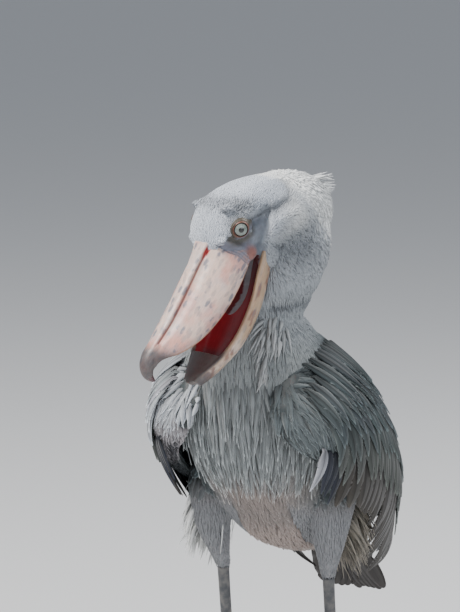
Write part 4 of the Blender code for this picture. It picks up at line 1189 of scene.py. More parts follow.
def eye_material():
    """A wet eye: a clear, glossy coat over an iris with fine spokes."""
    material, tree, shader = new_material("wet_eye")
    place = add(tree, "ShaderNodeAttribute", {"attribute_name": "eye"}).outputs["Vector"]
    parts = add(tree, "ShaderNodeSeparateXYZ", {}, {0: place}).outputs
    flat = add(tree, "ShaderNodeCombineXYZ", {}, {0: parts[0], 1: parts[1]}).outputs[0]
    away = add(tree, "ShaderNodeVectorMath", {"operation": "LENGTH"}, {0: flat}).outputs["Value"]
    spoke = add(tree, "ShaderNodeVectorMath", {"operation": "NORMALIZE"}, {0: flat}).outputs["Vector"]
    fibres = add(tree, "ShaderNodeTexNoise", {}, {"Vector": spoke, "Scale": 9.0, "Detail": 5.0}).outputs["Fac"]
    pale = mix(tree, ramp(tree, fibres, 0.35, 0.65), "#69746e", "#8b958e")
    inner = mix(tree, ramp(tree, away, 4.1 * MM, 3.5 * MM), pale, "#050505")
    rim = mix(tree, ramp(tree, away, 7.8 * MM, 9.0 * MM), inner, "#2c2a28")
    tree.links.new(rim, shader.inputs["Base Color"])
    shader.inputs["Roughness"].default_value = 0.25
    shader.inputs["Coat Weight"].default_value = 1.0
    shader.inputs["Coat Roughness"].default_value = 0.03
    shader.inputs["IOR"].default_value = 1.38
    return material


def lid_material():
    """Thick folded skin: orange-brown at the margin, then ochre above and lilac below."""
    material, tree, shader = new_material("lid_skin")
    lid = add(tree, "ShaderNodeAttribute", {"attribute_name": "lid"}).outputs["Vector"]
    out, lift = add(tree, "ShaderNodeSeparateXYZ", {}, {0: lid}).outputs[:2]
    place = add(tree, "ShaderNodeTexCoord").outputs["Object"]
    blotch = noise_at(tree, place, 3.5, 4.0)
    far = mix(tree, ramp(tree, lift, -0.75, -0.15), "#6b6d7a", "#4a4439")
    near = mix(tree, ramp(tree, blotch, 0.4, 0.6), "#8a5b4a", "#5f3f33")
    colour = mix(tree, ramp(tree, out, 0.16, 0.36), near, far)
    margin = mix(tree, ramp(tree, out, 0.02, 0.07), "#2b1d18", colour)
    shade = ramp(tree, blotch, 0.3, 0.7, 0.75, 1.15)
    paint(tree, shader, scaled(tree, margin, shade), cells_at(tree, place, 0.9)["Distance"], 0.5, 0.2)
    shader.inputs["Roughness"].default_value = 0.42
    return material


EYE_WET, LID_SKIN = eye_material(), lid_material()
eyes = [dress(make_eye(sign), EYE_WET) for sign in SIDE_WORD]
lids = [dress(make_lids(sign), LID_SKIN) for sign in SIDE_WORD]
print("eyes and lids:", [len(o.data.polygons) for o in eyes + lids])

# %% [markdown]
# ## Legs, toes and claws
#
# Long bare legs, cased in small six-sided scales, end in very long slender toes with a row of plates on
# top of each. The scales are pushed out of the surface itself, row by row, each row half a scale round
# from the last, so they catch the light from any side.

# %% Legs
LEG_X, FOOT_Y, TOE_HEIGHT = 0.085, 0.020, 0.0125
# Each row of the leg: y, z, half width, half depth
LEG_ROWS = [
    (0.029, 0.4275, 0.0088, 0.0092), (0.036, 0.380, 0.0084, 0.0090), (0.046, 0.320, 0.0092, 0.0100),
    (0.052, 0.290, 0.0118, 0.0140), (0.052, 0.268, 0.0124, 0.0150), (0.047, 0.240, 0.0094, 0.0112),
    (0.036, 0.150, 0.0082, 0.0092), (0.026, 0.060, 0.0086, 0.0094), (0.020, 0.026, 0.0110, 0.0118),
    (0.018, 0.0145, 0.0110, 0.0120),
]
# Each toe: name, heading in degrees from straight ahead outwards, length, half width
TOES = [("inner", -24.0, 0.118, 0.0078), ("middle", 2.0, 0.158, 0.0085), ("outer", 28.0, 0.132, 0.0078),
        ("hind", 172.0, 0.072, 0.0076)]
CLAW_LENGTH = 0.026
LEG_SCALE = 0.0046         # height of one scale of the leg
TOE_PLATE = 0.0052         # length of one plate on a toe


def hex_scales(u, v):
    """Height of rounded six-sided scales, 0 in the joints to 1 in the middle, on a grid of unit scales."""
    best = np.full(np.shape(u), 9.0)
    for shift_u, shift_v in ((0.0, 0.0), (0.5, 0.5)):
        du = (u - shift_u + 0.5) % 1.0 - 0.5
        dv = (v - shift_v + 0.5) % 1.0 - 0.5
        best = np.minimum(best, du**2 * 1.15 + dv**2 * 1.15)
    return smooth_step(0.36, 0.10, best)


def make_leg(sign):
    """The leg's tube with its scales pushed out of it."""
    rows, around = 420, 84
    read = spline([(LEG_X * sign, y, z, w, d) for y, z, w, d in LEG_ROWS], rows)
    turn = np.tile(circle(around), (rows, 1))
    length = np.concatenate([[0.0], np.cumsum(np.linalg.norm(np.diff(read[:, :3], axis=0), axis=1))])
    heights = hex_scales(turn / (2 * math.pi) * 11, (length / (LEG_SCALE * 1.55))[:, None] + 0 * turn)
    rise = 0.00055 * (heights - 0.6)
    c, s = np.cos(turn), np.sin(turn)
    rings = np.stack([read[:, 0:1] + c * (read[:, 3:4] + rise), read[:, 1:2] + s * (read[:, 4:5] + rise),
                      read[:, 2:3] + 0 * c], axis=-1)
    points, faces = loft(rings)
    marks = np.concatenate([heights.ravel(), [1.0, 1.0]])
    return mesh_object(f"leg_scales_{SIDE_WORD[sign]}", points, faces,
                       colours={"scale": np.repeat(marks[:, None], 3, axis=1)})


def toe_axis(sign, heading):
    """The way a toe points: 0 is straight ahead, and more is outwards."""
    angle = math.radians(heading)
    return np.array([math.sin(angle) * sign, -math.cos(angle), 0.0])


def make_foot(sign):
    """Toes and pad fused, then plates pressed into the tops of the toes and pebbles under them."""
    root = np.array([LEG_X * sign, FOOT_Y, 0.0])
    c, s = np.cos(circle(28)), np.sin(circle(28))
    parts = []
    for _, heading, length, width in TOES:
        along = toe_axis(sign, heading)
        across = np.cross(SKY, along)
        rings = []
        for t in np.linspace(0.0, 1.0, 60):
            swell = 1.0 + 0.08 * math.cos(t * math.pi * 5)
            taper = (1.0 - 0.30 * t) * (1.0 - 0.22 * smooth_step(0.93, 1.0, t))
            wide, tall = width * swell * taper, TOE_HEIGHT * (1.0 - 0.28 * t) * (0.92 + 0.08 * swell)
            side, high = np.sign(c) * np.abs(c) ** 0.8 * wide, 0.5 * tall + s * 0.5 * tall
            centre = root + along * (0.002 + (length - 0.002) * t)
            rings.append(centre + np.outer(side, across) + np.outer(np.maximum(high, 0.0004), SKY))
        parts.append(loft(rings))
    pad = [round_ring(root + SKY * z, SIDEWAYS, BACKWARDS, w, w, w, 32, 2.0)
           for z, w in ((0.0003, 0.0095), (0.003, 0.0120), (0.009, 0.0124), (0.0150, 0.0112))]
    parts.append(loft(pad))
    foot = remeshed(f"toe_scales_{SIDE_WORD[sign]}", parts, 0.0011, 2)
    points, normals = read_points(foot), read_normals(foot)
    best, plate = np.full(len(points), 1.0), np.ones(len(points))
    for _, heading, length, _ in TOES:
        along = toe_axis(sign, heading)
        reach = (points - root) @ along
        aside = np.abs((points - root) @ np.cross(SKY, along))
        nearer = (reach > 0.008) & (reach < length + 0.002) & (aside < best)
        best = np.where(nearer, aside, best)
        row = np.abs((reach / TOE_PLATE) % 1.0 - 0.5) * 2
        plate = np.where(nearer, 1.0 - smooth_step(0.72, 0.98, row), plate)
    top = smooth_step(0.1, 0.6, normals[:, 2])
    pebbles = hex_scales(points[:, 0] / 0.0034, points[:, 1] / 0.0034)
    marks = top * plate + (1 - top) * pebbles
    raised = points + normals * (0.00055 * (marks - 0.6))[:, None]
    raised[:, 2] = np.maximum(raised[:, 2], 0.0)
    write_points(foot, raised)
    give_colour(foot, "scale", np.repeat(marks[:, None], 3, axis=1))
    return foot


def make_claw(sign, name, heading, length):
    """A slender curved claw that rests its tip near the floor."""
    along = toe_axis(sign, heading)
    across = np.cross(SKY, along)
    root = np.array([LEG_X * sign, FOOT_Y, 0.0]) + along * (length - 0.0035)
    c, s = np.cos(circle(20)), np.sin(circle(20))
    rings = []
    for t in np.linspace(0.0, 1.0, 26):
        high = 0.0056 + 0.0030 * math.sin(t * math.pi) - 0.0042 * t
        thick = 0.0036 * (1 - t) ** 0.75 + 0.0003
        side, rise = c * thick * 0.72, s * thick * np.where(s > 0, 1.0, 0.8)
        centre = root + along * ((CLAW_LENGTH + 0.0038) * t) + SKY * high
        rings.append(centre + np.outer(side, across) + np.outer(rise, SKY))
    return mesh_object(f"claw_horn_{name}_{SIDE_WORD[sign]}", *loft(rings))


# %% [markdown]
# Leg scales are dry, dark slate horn, paler where they rub, with dust in the joints. Claws are smooth
# dark horn.

# %% Leg and claw materials
def scale_material():
    """Worn scales with dust in their joints."""
    material, tree, shader = new_material("leg_scutes")
    place = add(tree, "ShaderNodeTexCoord").outputs["Object"]
    dark = mix(tree, ramp(tree, noise_at(tree, place, 12, 5.0), 0.35, 0.68), "#44464a", "#6a6866")
    colour = mix(tree, ramp(tree, channels(tree, "scale")[0], 0.05, 0.6), "#8a857c", dark)
    paint(tree, shader, colour, noise_at(tree, place, 0.7, 3.0), 0.35, 0.12)
    shader.inputs["Roughness"].default_value = 0.55
    return material


def claw_material():
    """Smooth dark horn."""
    material, tree, shader = new_material("claw_keratin")
    lines = noise_at(tree, add(tree, "ShaderNodeTexCoord").outputs["Object"], 2.5, 4.0)
    paint(tree, shader, mix(tree, ramp(tree, lines, 0.35, 0.7), "#2b2623", "#57504a"), lines, 0.3, 0.1)
    shader.inputs["Roughness"].default_value = 0.32
    return material


LEG_SCUTES, CLAW_KERATIN = scale_material(), claw_material()
legs = [dress(make_leg(sign), LEG_SCUTES) for sign in SIDE_WORD]
feet = [dress(make_foot(sign), LEG_SCUTES) for sign in SIDE_WORD]
claws = {f"claw_{name}_{word}": dress(make_claw(sign, name, heading, length), CLAW_KERATIN)
         for sign, word in SIDE_WORD.items() for name, heading, length, _ in TOES}
print("leg and foot faces:", [len(o.data.polygons) for o in legs + feet], "claws:", len(claws))

# %% [markdown]
# ## How a feather is made
#
# Every feather here is a closed thin vane along a bent middle line: narrow at its root, broad and
# cambered in its middle, rounded or pointed at its end, with a slightly raised shaft. All feathers of
# one kind are worked out at once: arrays of middle lines and facings go in, one mesh comes out.

# %% Feather builder
PATCH = 0.003              # size of a feather's patch on the bake map


def vane_width(t, tip, point):
    """Relative width along a vane: it starts to close at tip, and point 0 is round and 1 sharp."""
    base = np.minimum(1.0, 0.30 + 3.0 * t)
    late = np.clip((t - tip) / (1.0 - tip), 0.0, 1.0)
    rounded = np.sqrt(np.maximum(1.0 - late**2.3, 0.0))
    sharp = 1.0 - late
    return np.maximum(base * (rounded * (1 - point) + sharp * point), 0.03)


def cross_section(kind):
    """Places across, from -1 to 1, and heights in thicknesses of a vane's outline."""
    if kind == "small":
        return np.array([-1.0, 0.0, 1.0]), np.array([0.0, 1.0, 0.0])
    if kind == "middling":
        return np.array([-1.0, 0.0, 1.0, 0.0]), np.array([0.0, 1.0, 0.0, -0.1])
    return (np.array([-1.0, -0.55, -0.06, 0.0, 0.06, 0.55, 1.0, 0.55, 0.0, -0.55]),
            np.array([0.0, 0.72, 0.98, 1.30, 0.98, 0.72, 0.0, 0.55, 0.80, 0.55]))


def feather_marks(rng, rim, core):
    """Each feather's paleness of the edge, darkness of the middle, and a number of its own."""
    return np.stack([rim, core, rng.uniform(0, 1, len(rim))], axis=1)


def pour_feathers(name, spine, face, width, thick, stations, kind, bake, colour, marks,
                  tip=0.6, point=0.2, camber=0.10, twist=None, notches=0):
    """One mesh of many feathers. spine and face are (feathers, stations, 3); the rest is per feather."""
    count, steps = spine.shape[:2]
    t = np.asarray(stations)
    along = unit(np.gradient(spine, axis=1))
    across = unit(np.cross(along, face))
    up = np.cross(across, along)
    if twist is not None:
        turn = np.asarray(twist)[:, None, None]
        across, up = across * np.cos(turn) + up * np.sin(turn), up * np.cos(turn) - across * np.sin(turn)
    x, h = cross_section(kind)
    wide = vane_width(t[None, :], tip, np.broadcast_to(np.asarray(point, float).reshape(-1, 1), (count, 1)))
    wide = wide * np.asarray(width)[:, None] / 2
    edge = np.ones((count, steps, len(x)))
    for _ in range(notches):
        where = chance.uniform(0.35, 0.95, count)
        deep = chance.uniform(0.0, 0.32, count)
        side = np.sign(chance.uniform(-1, 1, count))
        near = np.clip(1.0 - np.abs(t[None, :] - where[:, None]) / 0.045, 0.0, 1.0)
        cut = 1.0 - deep[:, None] * near
        edge = np.where((np.sign(x)[None, None, :] == side[:, None, None]) & (np.abs(x) > 0.8),
                        edge * cut[:, :, None], edge)
    sideways = x[None, None, :] * edge * wide[:, :, None]
    thick = np.broadcast_to(np.asarray(thick, float), (count,))
    rise = (h[None, None, :] * thick[:, None, None]
            - camber * wide[:, :, None] * (np.abs(x) ** 2)[None, None, :])
    points = (spine[:, :, None, :] + across[:, :, None, :] * sideways[..., None]
              + up[:, :, None, :] * rise[..., None])
    ring = len(x)
    i, k = np.meshgrid(np.arange(steps - 1), np.arange(ring), indexing="ij")
    a, b = i * ring + k, i * ring + (k + 1) % ring
    quads = np.stack([a, b, b + ring, a + ring], axis=-1).reshape(-1, 4)
    fan = np.array([(0, j, j + 1) for j in range(1, ring - 1)])
    last = fan[:, ::-1] + (steps - 1) * ring
    tris = np.concatenate([quads[:, [0, 2, 1]], quads[:, [0, 3, 2]], fan, last])
    flat = points.reshape(count, steps * ring, 3)
    tris = outward(flat[0] - flat[0][0], tris)[1]
    faces = (tris[None] + (np.arange(count) * steps * ring)[:, None, None]).reshape(-1, 3)
    u = np.broadcast_to((x * 0.5 + 0.5)[None, None, :], (count, steps, ring))
    v = np.broadcast_to(t[None, :, None], (count, steps, ring))
    vane_map = np.stack([u, v], axis=-1).reshape(-1, 2)
    patch = np.stack([u - 0.5, v - 0.5], axis=-1) * PATCH + np.asarray(bake)[:, None, None, :]
    per = steps * ring
    return mesh_object(name, flat.reshape(-1, 3), faces,
                       maps={"vane": vane_map, "OFBake": patch.reshape(-1, 2)},
                       colours={"plumage": np.repeat(colour, per, axis=0),
                                "marks": np.repeat(marks, per, axis=0)})


# %% [markdown]
# Feather material: soft barbs run out from the shaft at a slant. Real barbs lie about 0.4 mm apart,
# too fine to show here, so they are drawn at about 1.3 mm. The edge of each vane is paler and its
# middle and root darker, by as much as the feather's own marks say, and sheen gives the soft bloom.

# %% Feather material
BARB_MM = 1.3


def feather_material(name, width_mm, shaft, roughness):
    """Vanes in each feather's own colour; shaft says whether a dark shaft shows."""
    material, tree, shader = new_material(name)
    edge_pale, core_dark, own = channels(tree, "marks")[:3]
    vane = add(tree, "ShaderNodeUVMap", {"uv_map": "vane"}).outputs["UV"]
    across, length = add(tree, "ShaderNodeSeparateXYZ", {}, {0: vane}).outputs[:2]
    from_middle = calc(tree, "ABSOLUTE", calc(tree, "MULTIPLY_ADD", across, 2.0, -1.0))
    barbs = width_mm / BARB_MM
    slant = calc(tree, "MULTIPLY_ADD", from_middle, -0.55 * barbs, times(tree, length, 2.6 * barbs))
    seed = add(tree, "ShaderNodeCombineXYZ", {}, {0: slant, 1: times(tree, from_middle, 1.3),
                                                  2: times(tree, own, 40.0)}).outputs[0]
    barb = add(tree, "ShaderNodeTexNoise", {}, {"Vector": seed, "Scale": 1.0, "Detail": 2.0}).outputs["Fac"]
    side_rim = times(tree, ramp(tree, from_middle, 0.70, 0.97), ramp(tree, length, 0.25, 0.55))
    rim = calc(tree, "MAXIMUM", ramp(tree, length, 0.86, 0.985), side_rim)
    light = calc(tree, "MULTIPLY_ADD", times(tree, rim, edge_pale), 1.5, 1.0)
    core = times(tree, ramp(tree, from_middle, 0.75, 0.1), core_dark, ramp(tree, length, 0.98, 0.7))
    dark = calc(tree, "MULTIPLY_ADD", core, -0.45, 1.0)
    fibre = ramp(tree, barb, 0.30, 0.70, 0.86, 1.12)
    sunk = times(tree, ramp(tree, length, 0.55, 0.0), ramp(tree, core_dark, 0.0, 0.8, 0.08, 0.50))
    amount = times(tree, light, dark, fibre, calc(tree, "SUBTRACT", 1.0, sunk))
    if shaft:
        quill = times(tree, ramp(tree, from_middle, 0.10, 0.03), ramp(tree, length, 0.97, 0.85))
        amount = times(tree, amount, calc(tree, "MULTIPLY_ADD", quill, -0.42, 1.0))
    paint(tree, shader, scaled(tree, vertex_colour(tree, "plumage"), amount), barb, 0.35, 0.25)
    shader.inputs["Roughness"].default_value = roughness
    shader.inputs["Specular IOR Level"].default_value = 0.22
    shader.inputs["Sheen Weight"].default_value = 0.12
    shader.inputs["Sheen Roughness"].default_value = 0.5
    return material


DOWN = feather_material("contour_feather_keratin", 8.0, False, 0.80)
QUILL = feather_material("flight_feather_keratin", 32.0, True, 0.62)

# %% [markdown]
# ## Wings
#
# The folded wing is a curved slab of flesh under tiers of feathers that overlap like tiles: primaries
# lowest and at the back, then secondaries, greater, median and lesser coverts, and shaggy scapulars
# over the shoulder. The slab's rows are the solids' own, and each feather follows its curved face.

# %% Wing surface
# Each row: y, then height and distance to the side of the upper edge, the middle and the lower edge
WING_ROWS = [
    (-0.152, 0.740, 0.080, 0.704, 0.104, 0.668, 0.100), (-0.120, 0.770, 0.084, 0.712, 0.132, 0.648, 0.122),
    (-0.050, 0.800, 0.086, 0.690, 0.168, 0.595, 0.146), (0.050, 0.776, 0.082, 0.640, 0.172, 0.535, 0.144),
    (0.150, 0.692, 0.068, 0.570, 0.154, 0.482, 0.125), (0.250, 0.585, 0.048, 0.490, 0.118, 0.432, 0.100),
    (0.330, 0.490, 0.035, 0.425, 0.088, 0.388, 0.080),
]
WING_THICKNESS = (0.040, 0.011)         # of the slab of flesh, at the front and at the back
WING_SIDE = {1: 1.0, -1: -0.965}        # the right wing is held a little closer to the body


def wing_side(y, z):
    """How far to the side the wing's outer face lies, at places seen from the side."""
    z_top, x_top, z_mid, x_mid, z_low, x_low = np.moveaxis(table_at(WING_ROWS, y), -1, 0)[1:]
    z = np.maximum(z, z_low - 0.06)
    return (x_top * (z - z_mid) * (z - z_low) / ((z_top - z_mid) * (z_top - z_low))
            + x_mid * (z - z_top) * (z - z_low) / ((z_mid - z_top) * (z_mid - z_low))
            + x_low * (z - z_top) * (z - z_mid) / ((z_low - z_top) * (z_low - z_mid)))


def on_wing(y, z, out=0.0):
    """Points that stand off the left wing's outer face, and the face's direction there."""
    y, z = np.asarray(y, float), np.asarray(z, float)
    step = 0.004
    at = np.stack([wing_side(y, z), y, z], axis=-1)
    back = np.stack([wing_side(y + step, z), y + step, z], axis=-1) - at
    up = np.stack([wing_side(y, z + step), y, z + step], axis=-1) - at
    face = unit(np.cross(back, up))
    face = np.where(face[..., :1] < 0, -face, face)
    return at + face * np.asarray(out)[..., None], face


def make_wing_core(sign):
    """The slab of flesh under a wing's feathers."""
    rings = []
    for i, y in enumerate(np.linspace(-0.150, 0.275, 70)):
        row = table_at(WING_ROWS, y)
        low = row[5] + 0.10 * (row[1] - row[5])
        heights = np.linspace(row[1], low, 24)
        thick = WING_THICKNESS[0] + (WING_THICKNESS[1] - WING_THICKNESS[0]) * math.sqrt(i / 69)
        outer = on_wing(np.full(24, y), heights, np.full(24, -0.0015))[0]
        inner = outer[::-1].copy()
        inner[:, 0] = np.maximum(inner[:, 0] - thick, 0.03)
        ring = smooth_outline(np.concatenate([outer, inner]), 72)
        middle = ring.mean(axis=0)
        shrink = 0.40 + 0.60 * smooth_step(-0.160, -0.118, y)
        rings.append((middle + (ring - middle) * shrink) * (WING_SIDE[sign], 1, 1))
    return loft(rings)


# On the right wing's front, white also serves as painted sunlight, strip as painted shade, and navy, the alula's
# own dark, as painted shade low down
TIER_TINTS = {name: linear(value) for name, value in {
    "primary": "#23262e", "secondary": "#37332f", "greater": "#4b4f4c", "median": "#484f4f",
    "lesser": "#4b5355", "scapular": "#434b4d", "marginal": "#6f7779", "tail": "#2f2b29",
    "tail_covert": "#4b4744", "white": "#bfc4ca", "strip": "#9d999c", "navy": "#2a2e39",
}.items()}
# Tiers: name, tint, root height on the wing, first and last root from front to back, how many, length at
# front and back, width, lean from upright at front and back, stand of the root, paleness of the edge
WING_TIERS = [
    ("secondary", "secondary", 0.30, -0.095, 0.255, 22, 0.112, 0.160, 0.027, 22.0, 38.0, 0.0000, 0.30),
    ("greater", "greater", 0.48, -0.110, 0.225, 25, 0.098, 0.128, 0.024, 17.0, 38.0, 0.0012, 0.75),
    ("median", "median", 0.62, -0.118, 0.205, 25, 0.084, 0.108, 0.022, 15.0, 38.0, 0.0020, 0.80),
    ("lesser_low", "lesser", 0.72, -0.122, 0.185, 26, 0.070, 0.088, 0.019, 14.0, 39.0, 0.0027, 0.80),
    ("lesser_middle", "lesser", 0.81, -0.125, 0.170, 27, 0.062, 0.080, 0.018, 14.0, 40.0, 0.0033, 0.80),
    ("lesser_high", "lesser", 0.89, -0.125, 0.165, 28, 0.056, 0.074, 0.017, 15.0, 42.0, 0.0039, 0.80),
    ("alula", "navy", 0.14, -0.124, -0.100, 4, 0.070, 0.080, 0.016, 18.0, 22.0, 0.0030, 0.40),
    ("scapular_low", "scapular", 0.93, -0.095, 0.200, 24, 0.078, 0.105, 0.017, 24.0, 44.0, 0.0048, 0.90),
    ("scapular_high", "scapular", 1.00, -0.100, 0.190, 24, 0.072, 0.100, 0.017, 27.0, 46.0, 0.0056, 0.95),
]
# Primaries: y of the root, length, lean from upright
PRIMARIES = [(0.140, 0.190, 35.0), (0.158, 0.200, 37.0), (0.175, 0.205, 39.0), (0.192, 0.206, 40.5),
             (0.208, 0.205, 42.0), (0.224, 0.200, 43.5), (0.238, 0.195, 44.5), (0.250, 0.190, 45.5)]
LARGE = np.concatenate([[0.0, 0.05, 0.12, 0.20], np.linspace(0.28, 0.90, 12), [0.94, 0.97, 0.99, 1.0]])


def wing_map(y, z):
    """The bake map's place of a point of the wing: its face laid flat from front to back."""
    row = table_at(WING_ROWS, y)
    up = (z - row[..., 5]) / (row[..., 1] - row[..., 5])
    return np.stack([0.05 + 0.9 * (np.asarray(y) + 0.16) / 0.50,
                     0.05 + 0.9 * np.clip((up + 0.5) / 1.7, 0, 1)], axis=-1)


def wing_feathers(sign, name, y, z, length, width, lean, stand, slope, tint, rim, point, tip):
    """One tier of large feathers on a wing."""
    count, t = len(y), LARGE
    lean = np.radians(lean)[:, None]
    # A feather bends slightly backwards as it goes down, as a folded wing's do
    bend = chance.uniform(-0.05, 0.07, count)[:, None]
    run_y = y[:, None] + np.sin(lean + bend * t) * length[:, None] * t
    run_z = z[:, None] - np.cos(lean + bend * t) * length[:, None] * t
    rise = stand[:, None] + np.where(t < 0.04, -0.0045, 0.0006 + slope[:, None] * t - 0.0012 * t**3)
    spine, face = on_wing(run_y, run_z, rise)
    colour = TIER_TINTS[tint]
    if sign < 0:
        # On the right wing, painted sunlight whitens the front coverts and scapulars, and painted shade darkens
        # the secondaries and greater coverts under them
        quill = tint in ("primary", "secondary", "greater", "navy")
        pale = smooth_step(0.10, -0.04, y)[:, None] * (0.0 if quill else 0.8)
        colour = colour + (TIER_TINTS["white"] - colour) * pale
        colour = colour * (0.62 if tint in ("secondary", "greater") else 1.0)
    colour = colour * chance.uniform(0.82, 1.20, count)[:, None]
    if tint == "navy" and sign > 0:
        colour[0] = TIER_TINTS["white"] * 0.8
    colour = colour * (1 + chance.normal(0, 0.015, (count, 3)))
    marks = feather_marks(chance, rim * chance.uniform(0.6, 1.3, count), chance.uniform(0.5, 1.0, count))
    twist = np.radians(chance.uniform(1.0, 5.0, count))
    return pour_feathers(name, spine * (WING_SIDE[sign], 1, 1), face * (sign, 1, 1), width, 0.0009, t, "large",
                         wing_map(y, z), colour, marks, tip=tip, point=point, camber=0.12, twist=-twist * sign,
                         notches=3)


def wing_tiers(sign):
    """All the large feathers of one wing, tier by tier."""
    made = []
    for name, tint, high, y0, y1, count, l0, l1, wide, lean0, lean1, stand, rim in WING_TIERS:
        t = np.linspace(0.0, 1.0, count)
        y = y0 + (y1 - y0) * t + chance.uniform(-0.002, 0.002, count)
        row = table_at(WING_ROWS, y)
        z = row[:, 5] + (high + chance.uniform(-0.014, 0.014, count)) * (row[:, 1] - row[:, 5])
        length = (l0 + (l1 - l0) * t) * chance.uniform(0.92, 1.06, count)
        shaggy = 0.90 if "scapular" in name else 0.20 if name == "secondary" else 0.70
        width = wide * chance.uniform(0.92, 1.08, count)
        lean = (lean0 + (lean1 - lean0) * t) + chance.normal(0, 1.6, count)
        made.append(wing_feathers(sign, f"{name}_feathers", y, z, length, width, lean, np.full(count, stand),
                                  np.full(count, 0.0080), tint, rim, shaggy, 0.40 if shaggy > 0.3 else 0.60))
    y, length, lean = np.array(PRIMARIES).T
    row = table_at(WING_ROWS, y)
    z = row[:, 5] + 0.40 * (row[:, 1] - row[:, 5])
    under = -0.008 - 0.0015 * np.arange(len(y))
    made.append(wing_feathers(sign, "primary_feathers", y, z, length, np.full(len(y), 0.028), lean, under,
                              np.full(len(y), 0.006), "primary", 0.15, 0.25, 0.55))
    return made


def joined(name, pieces):
    """Several feather meshes as one object."""
    with bpy.context.temp_override(active_object=pieces[0], selected_editable_objects=pieces):
        bpy.ops.object.join()
    pieces[0].name = name
    return pieces[0]


wing_cores, wing_coats = [], []
for sign, word in SIDE_WORD.items():
    core = mesh_object(f"wing_skin_{word}", *make_wing_core(sign))
    give_colour(core, "plumage", np.tile(TIER_TINTS["lesser"] * 0.6, (len(core.data.vertices), 1)))
    wing_cores.append(dress(core, BARE_SKIN))
    wing_coats.append(dress(joined(f"wing_feathers_{word}", wing_tiers(sign)), QUILL))
print("wing feather faces:", [len(o.data.polygons) for o in wing_coats])

# %% [markdown]
# ## Tail
#
# Twelve broad, dark tail feathers lie over one another in a shallow fan, with two rows of coverts
# above and one below to hide their roots.

# %% Tail
TAIL_ROOT, TAIL_TIP = np.array([0.0, 0.262, 0.490]), np.array([0.0, 0.432, 0.285])
TAIL_FLOW = unit(TAIL_TIP - TAIL_ROOT)
TAIL_FACE = np.cross(SIDEWAYS, TAIL_FLOW)
TAIL_FACE = TAIL_FACE if TAIL_FACE[2] > 0 else -TAIL_FACE
TAIL_LENGTH = np.linalg.norm(TAIL_TIP - TAIL_ROOT)
# Rows of the tail: name, how many, start and end along it, spread, width, height above the root, sag, tint
TAIL_ROWS = [
    ("rectrices", 12, 0.14, 1.00, 9.0, 0.034, 0.000, 0.000, "tail"),
    ("upper_long", 9, 0.02, 0.66, 9.0, 0.030, 0.0120, 0.0105, "tail_covert"),
    ("upper_short", 8, -0.12, 0.42, 9.0, 0.028, 0.0190, 0.0110, "tail_covert"),
    ("under_long", 8, 0.00, 0.60, 9.0, 0.030, -0.0160, -0.0090, "tail_covert"),
]


def tail_row(name, count, start, end, spread, width, high, sag, tint):
    """One fan of the tail: its middle feathers lie on top, its outer ones under them."""
    place = np.linspace(-1.0, 1.0, count)
    level = np.abs(place) * (count - 1) / 2
    angle = np.radians(-spread * place)
    way = (TAIL_FLOW * np.cos(angle)[:, None] + np.cross(TAIL_FACE, TAIL_FLOW) * np.sin(angle)[:, None])
    under = -1.0 if high < 0 else 1.0
    stand = high - under * 0.0013 * level
    root = (TAIL_ROOT + TAIL_FLOW * (start * TAIL_LENGTH) + np.outer(0.019 * place, SIDEWAYS)
            + np.outer(stand, TAIL_FACE))
    long = TAIL_LENGTH * (end - start) * (1.0 - 0.05 * np.abs(place)) * chance.uniform(0.96, 1.01, count)
    spine = (root[:, None] + way[:, None] * (long[:, None] * LARGE)[..., None]
             - TAIL_FACE * (sag * LARGE)[None, :, None])
    face = np.broadcast_to(TAIL_FACE * under, spine.shape)
    colour = TIER_TINTS[tint] * chance.uniform(0.85, 1.15, count)[:, None]
    marks = feather_marks(chance, np.full(count, 0.25), chance.uniform(0.4, 0.9, count))
    bake = np.stack([0.5 + 0.42 * place, np.full(count, 0.5 + start * 0.5 + high * 8)], axis=1)
    return pour_feathers(name, spine, face, np.full(count, width), 0.0008, LARGE, "large", bake, colour, marks,
                         tip=0.68, point=0.1, camber=0.05, notches=4)


def make_tail_root():
    """The stump of flesh that carries the tail's feathers."""
    return loft([round_ring(TAIL_ROOT + TAIL_FLOW * (0.30 * TAIL_LENGTH * t), SIDEWAYS, TAIL_FACE,
                            0.034 - 0.006 * t, 0.018 - 0.015 * t, 0.024 - 0.012 * t, 36, 2.0)
                 for t in np.linspace(0, 1, 16)])


tail_coat = dress(joined("tail_feathers", [tail_row(*row) for row in TAIL_ROWS]), QUILL)
tail_root = mesh_object("tail_skin", *make_tail_root())
give_colour(tail_root, "plumage", np.tile(TIER_TINTS["tail_covert"] * 0.6, (len(tail_root.data.vertices), 1)))
dress(tail_root, BARE_SKIN)
print("tail feather faces:", len(tail_coat.data.polygons))

# %% [markdown]
# ## Scattering feathers over the skin
#
# Feathers grow in even rows. Here roots are thrown on the skin at random, as many as its area asks for,
# and any that falls too close to another is dropped. Spacing, length and lie are asked for at each
# place, so the coat runs from 7 mm feathers on the face to 70 mm plumes on the breast without a break.

# %% Scatter
def face_arrays(made):
    """Corners and corner normals of a mesh's triangles, in the bird's frame."""
    mesh = made.data
    mesh.calc_loop_triangles()
    tris = np.empty(len(mesh.loop_triangles) * 3, np.int32)
    mesh.loop_triangles.foreach_get("vertices", tris)
    tris = tris.reshape(-1, 3)
    return read_points(made)[tris], read_normals(made)[tris]


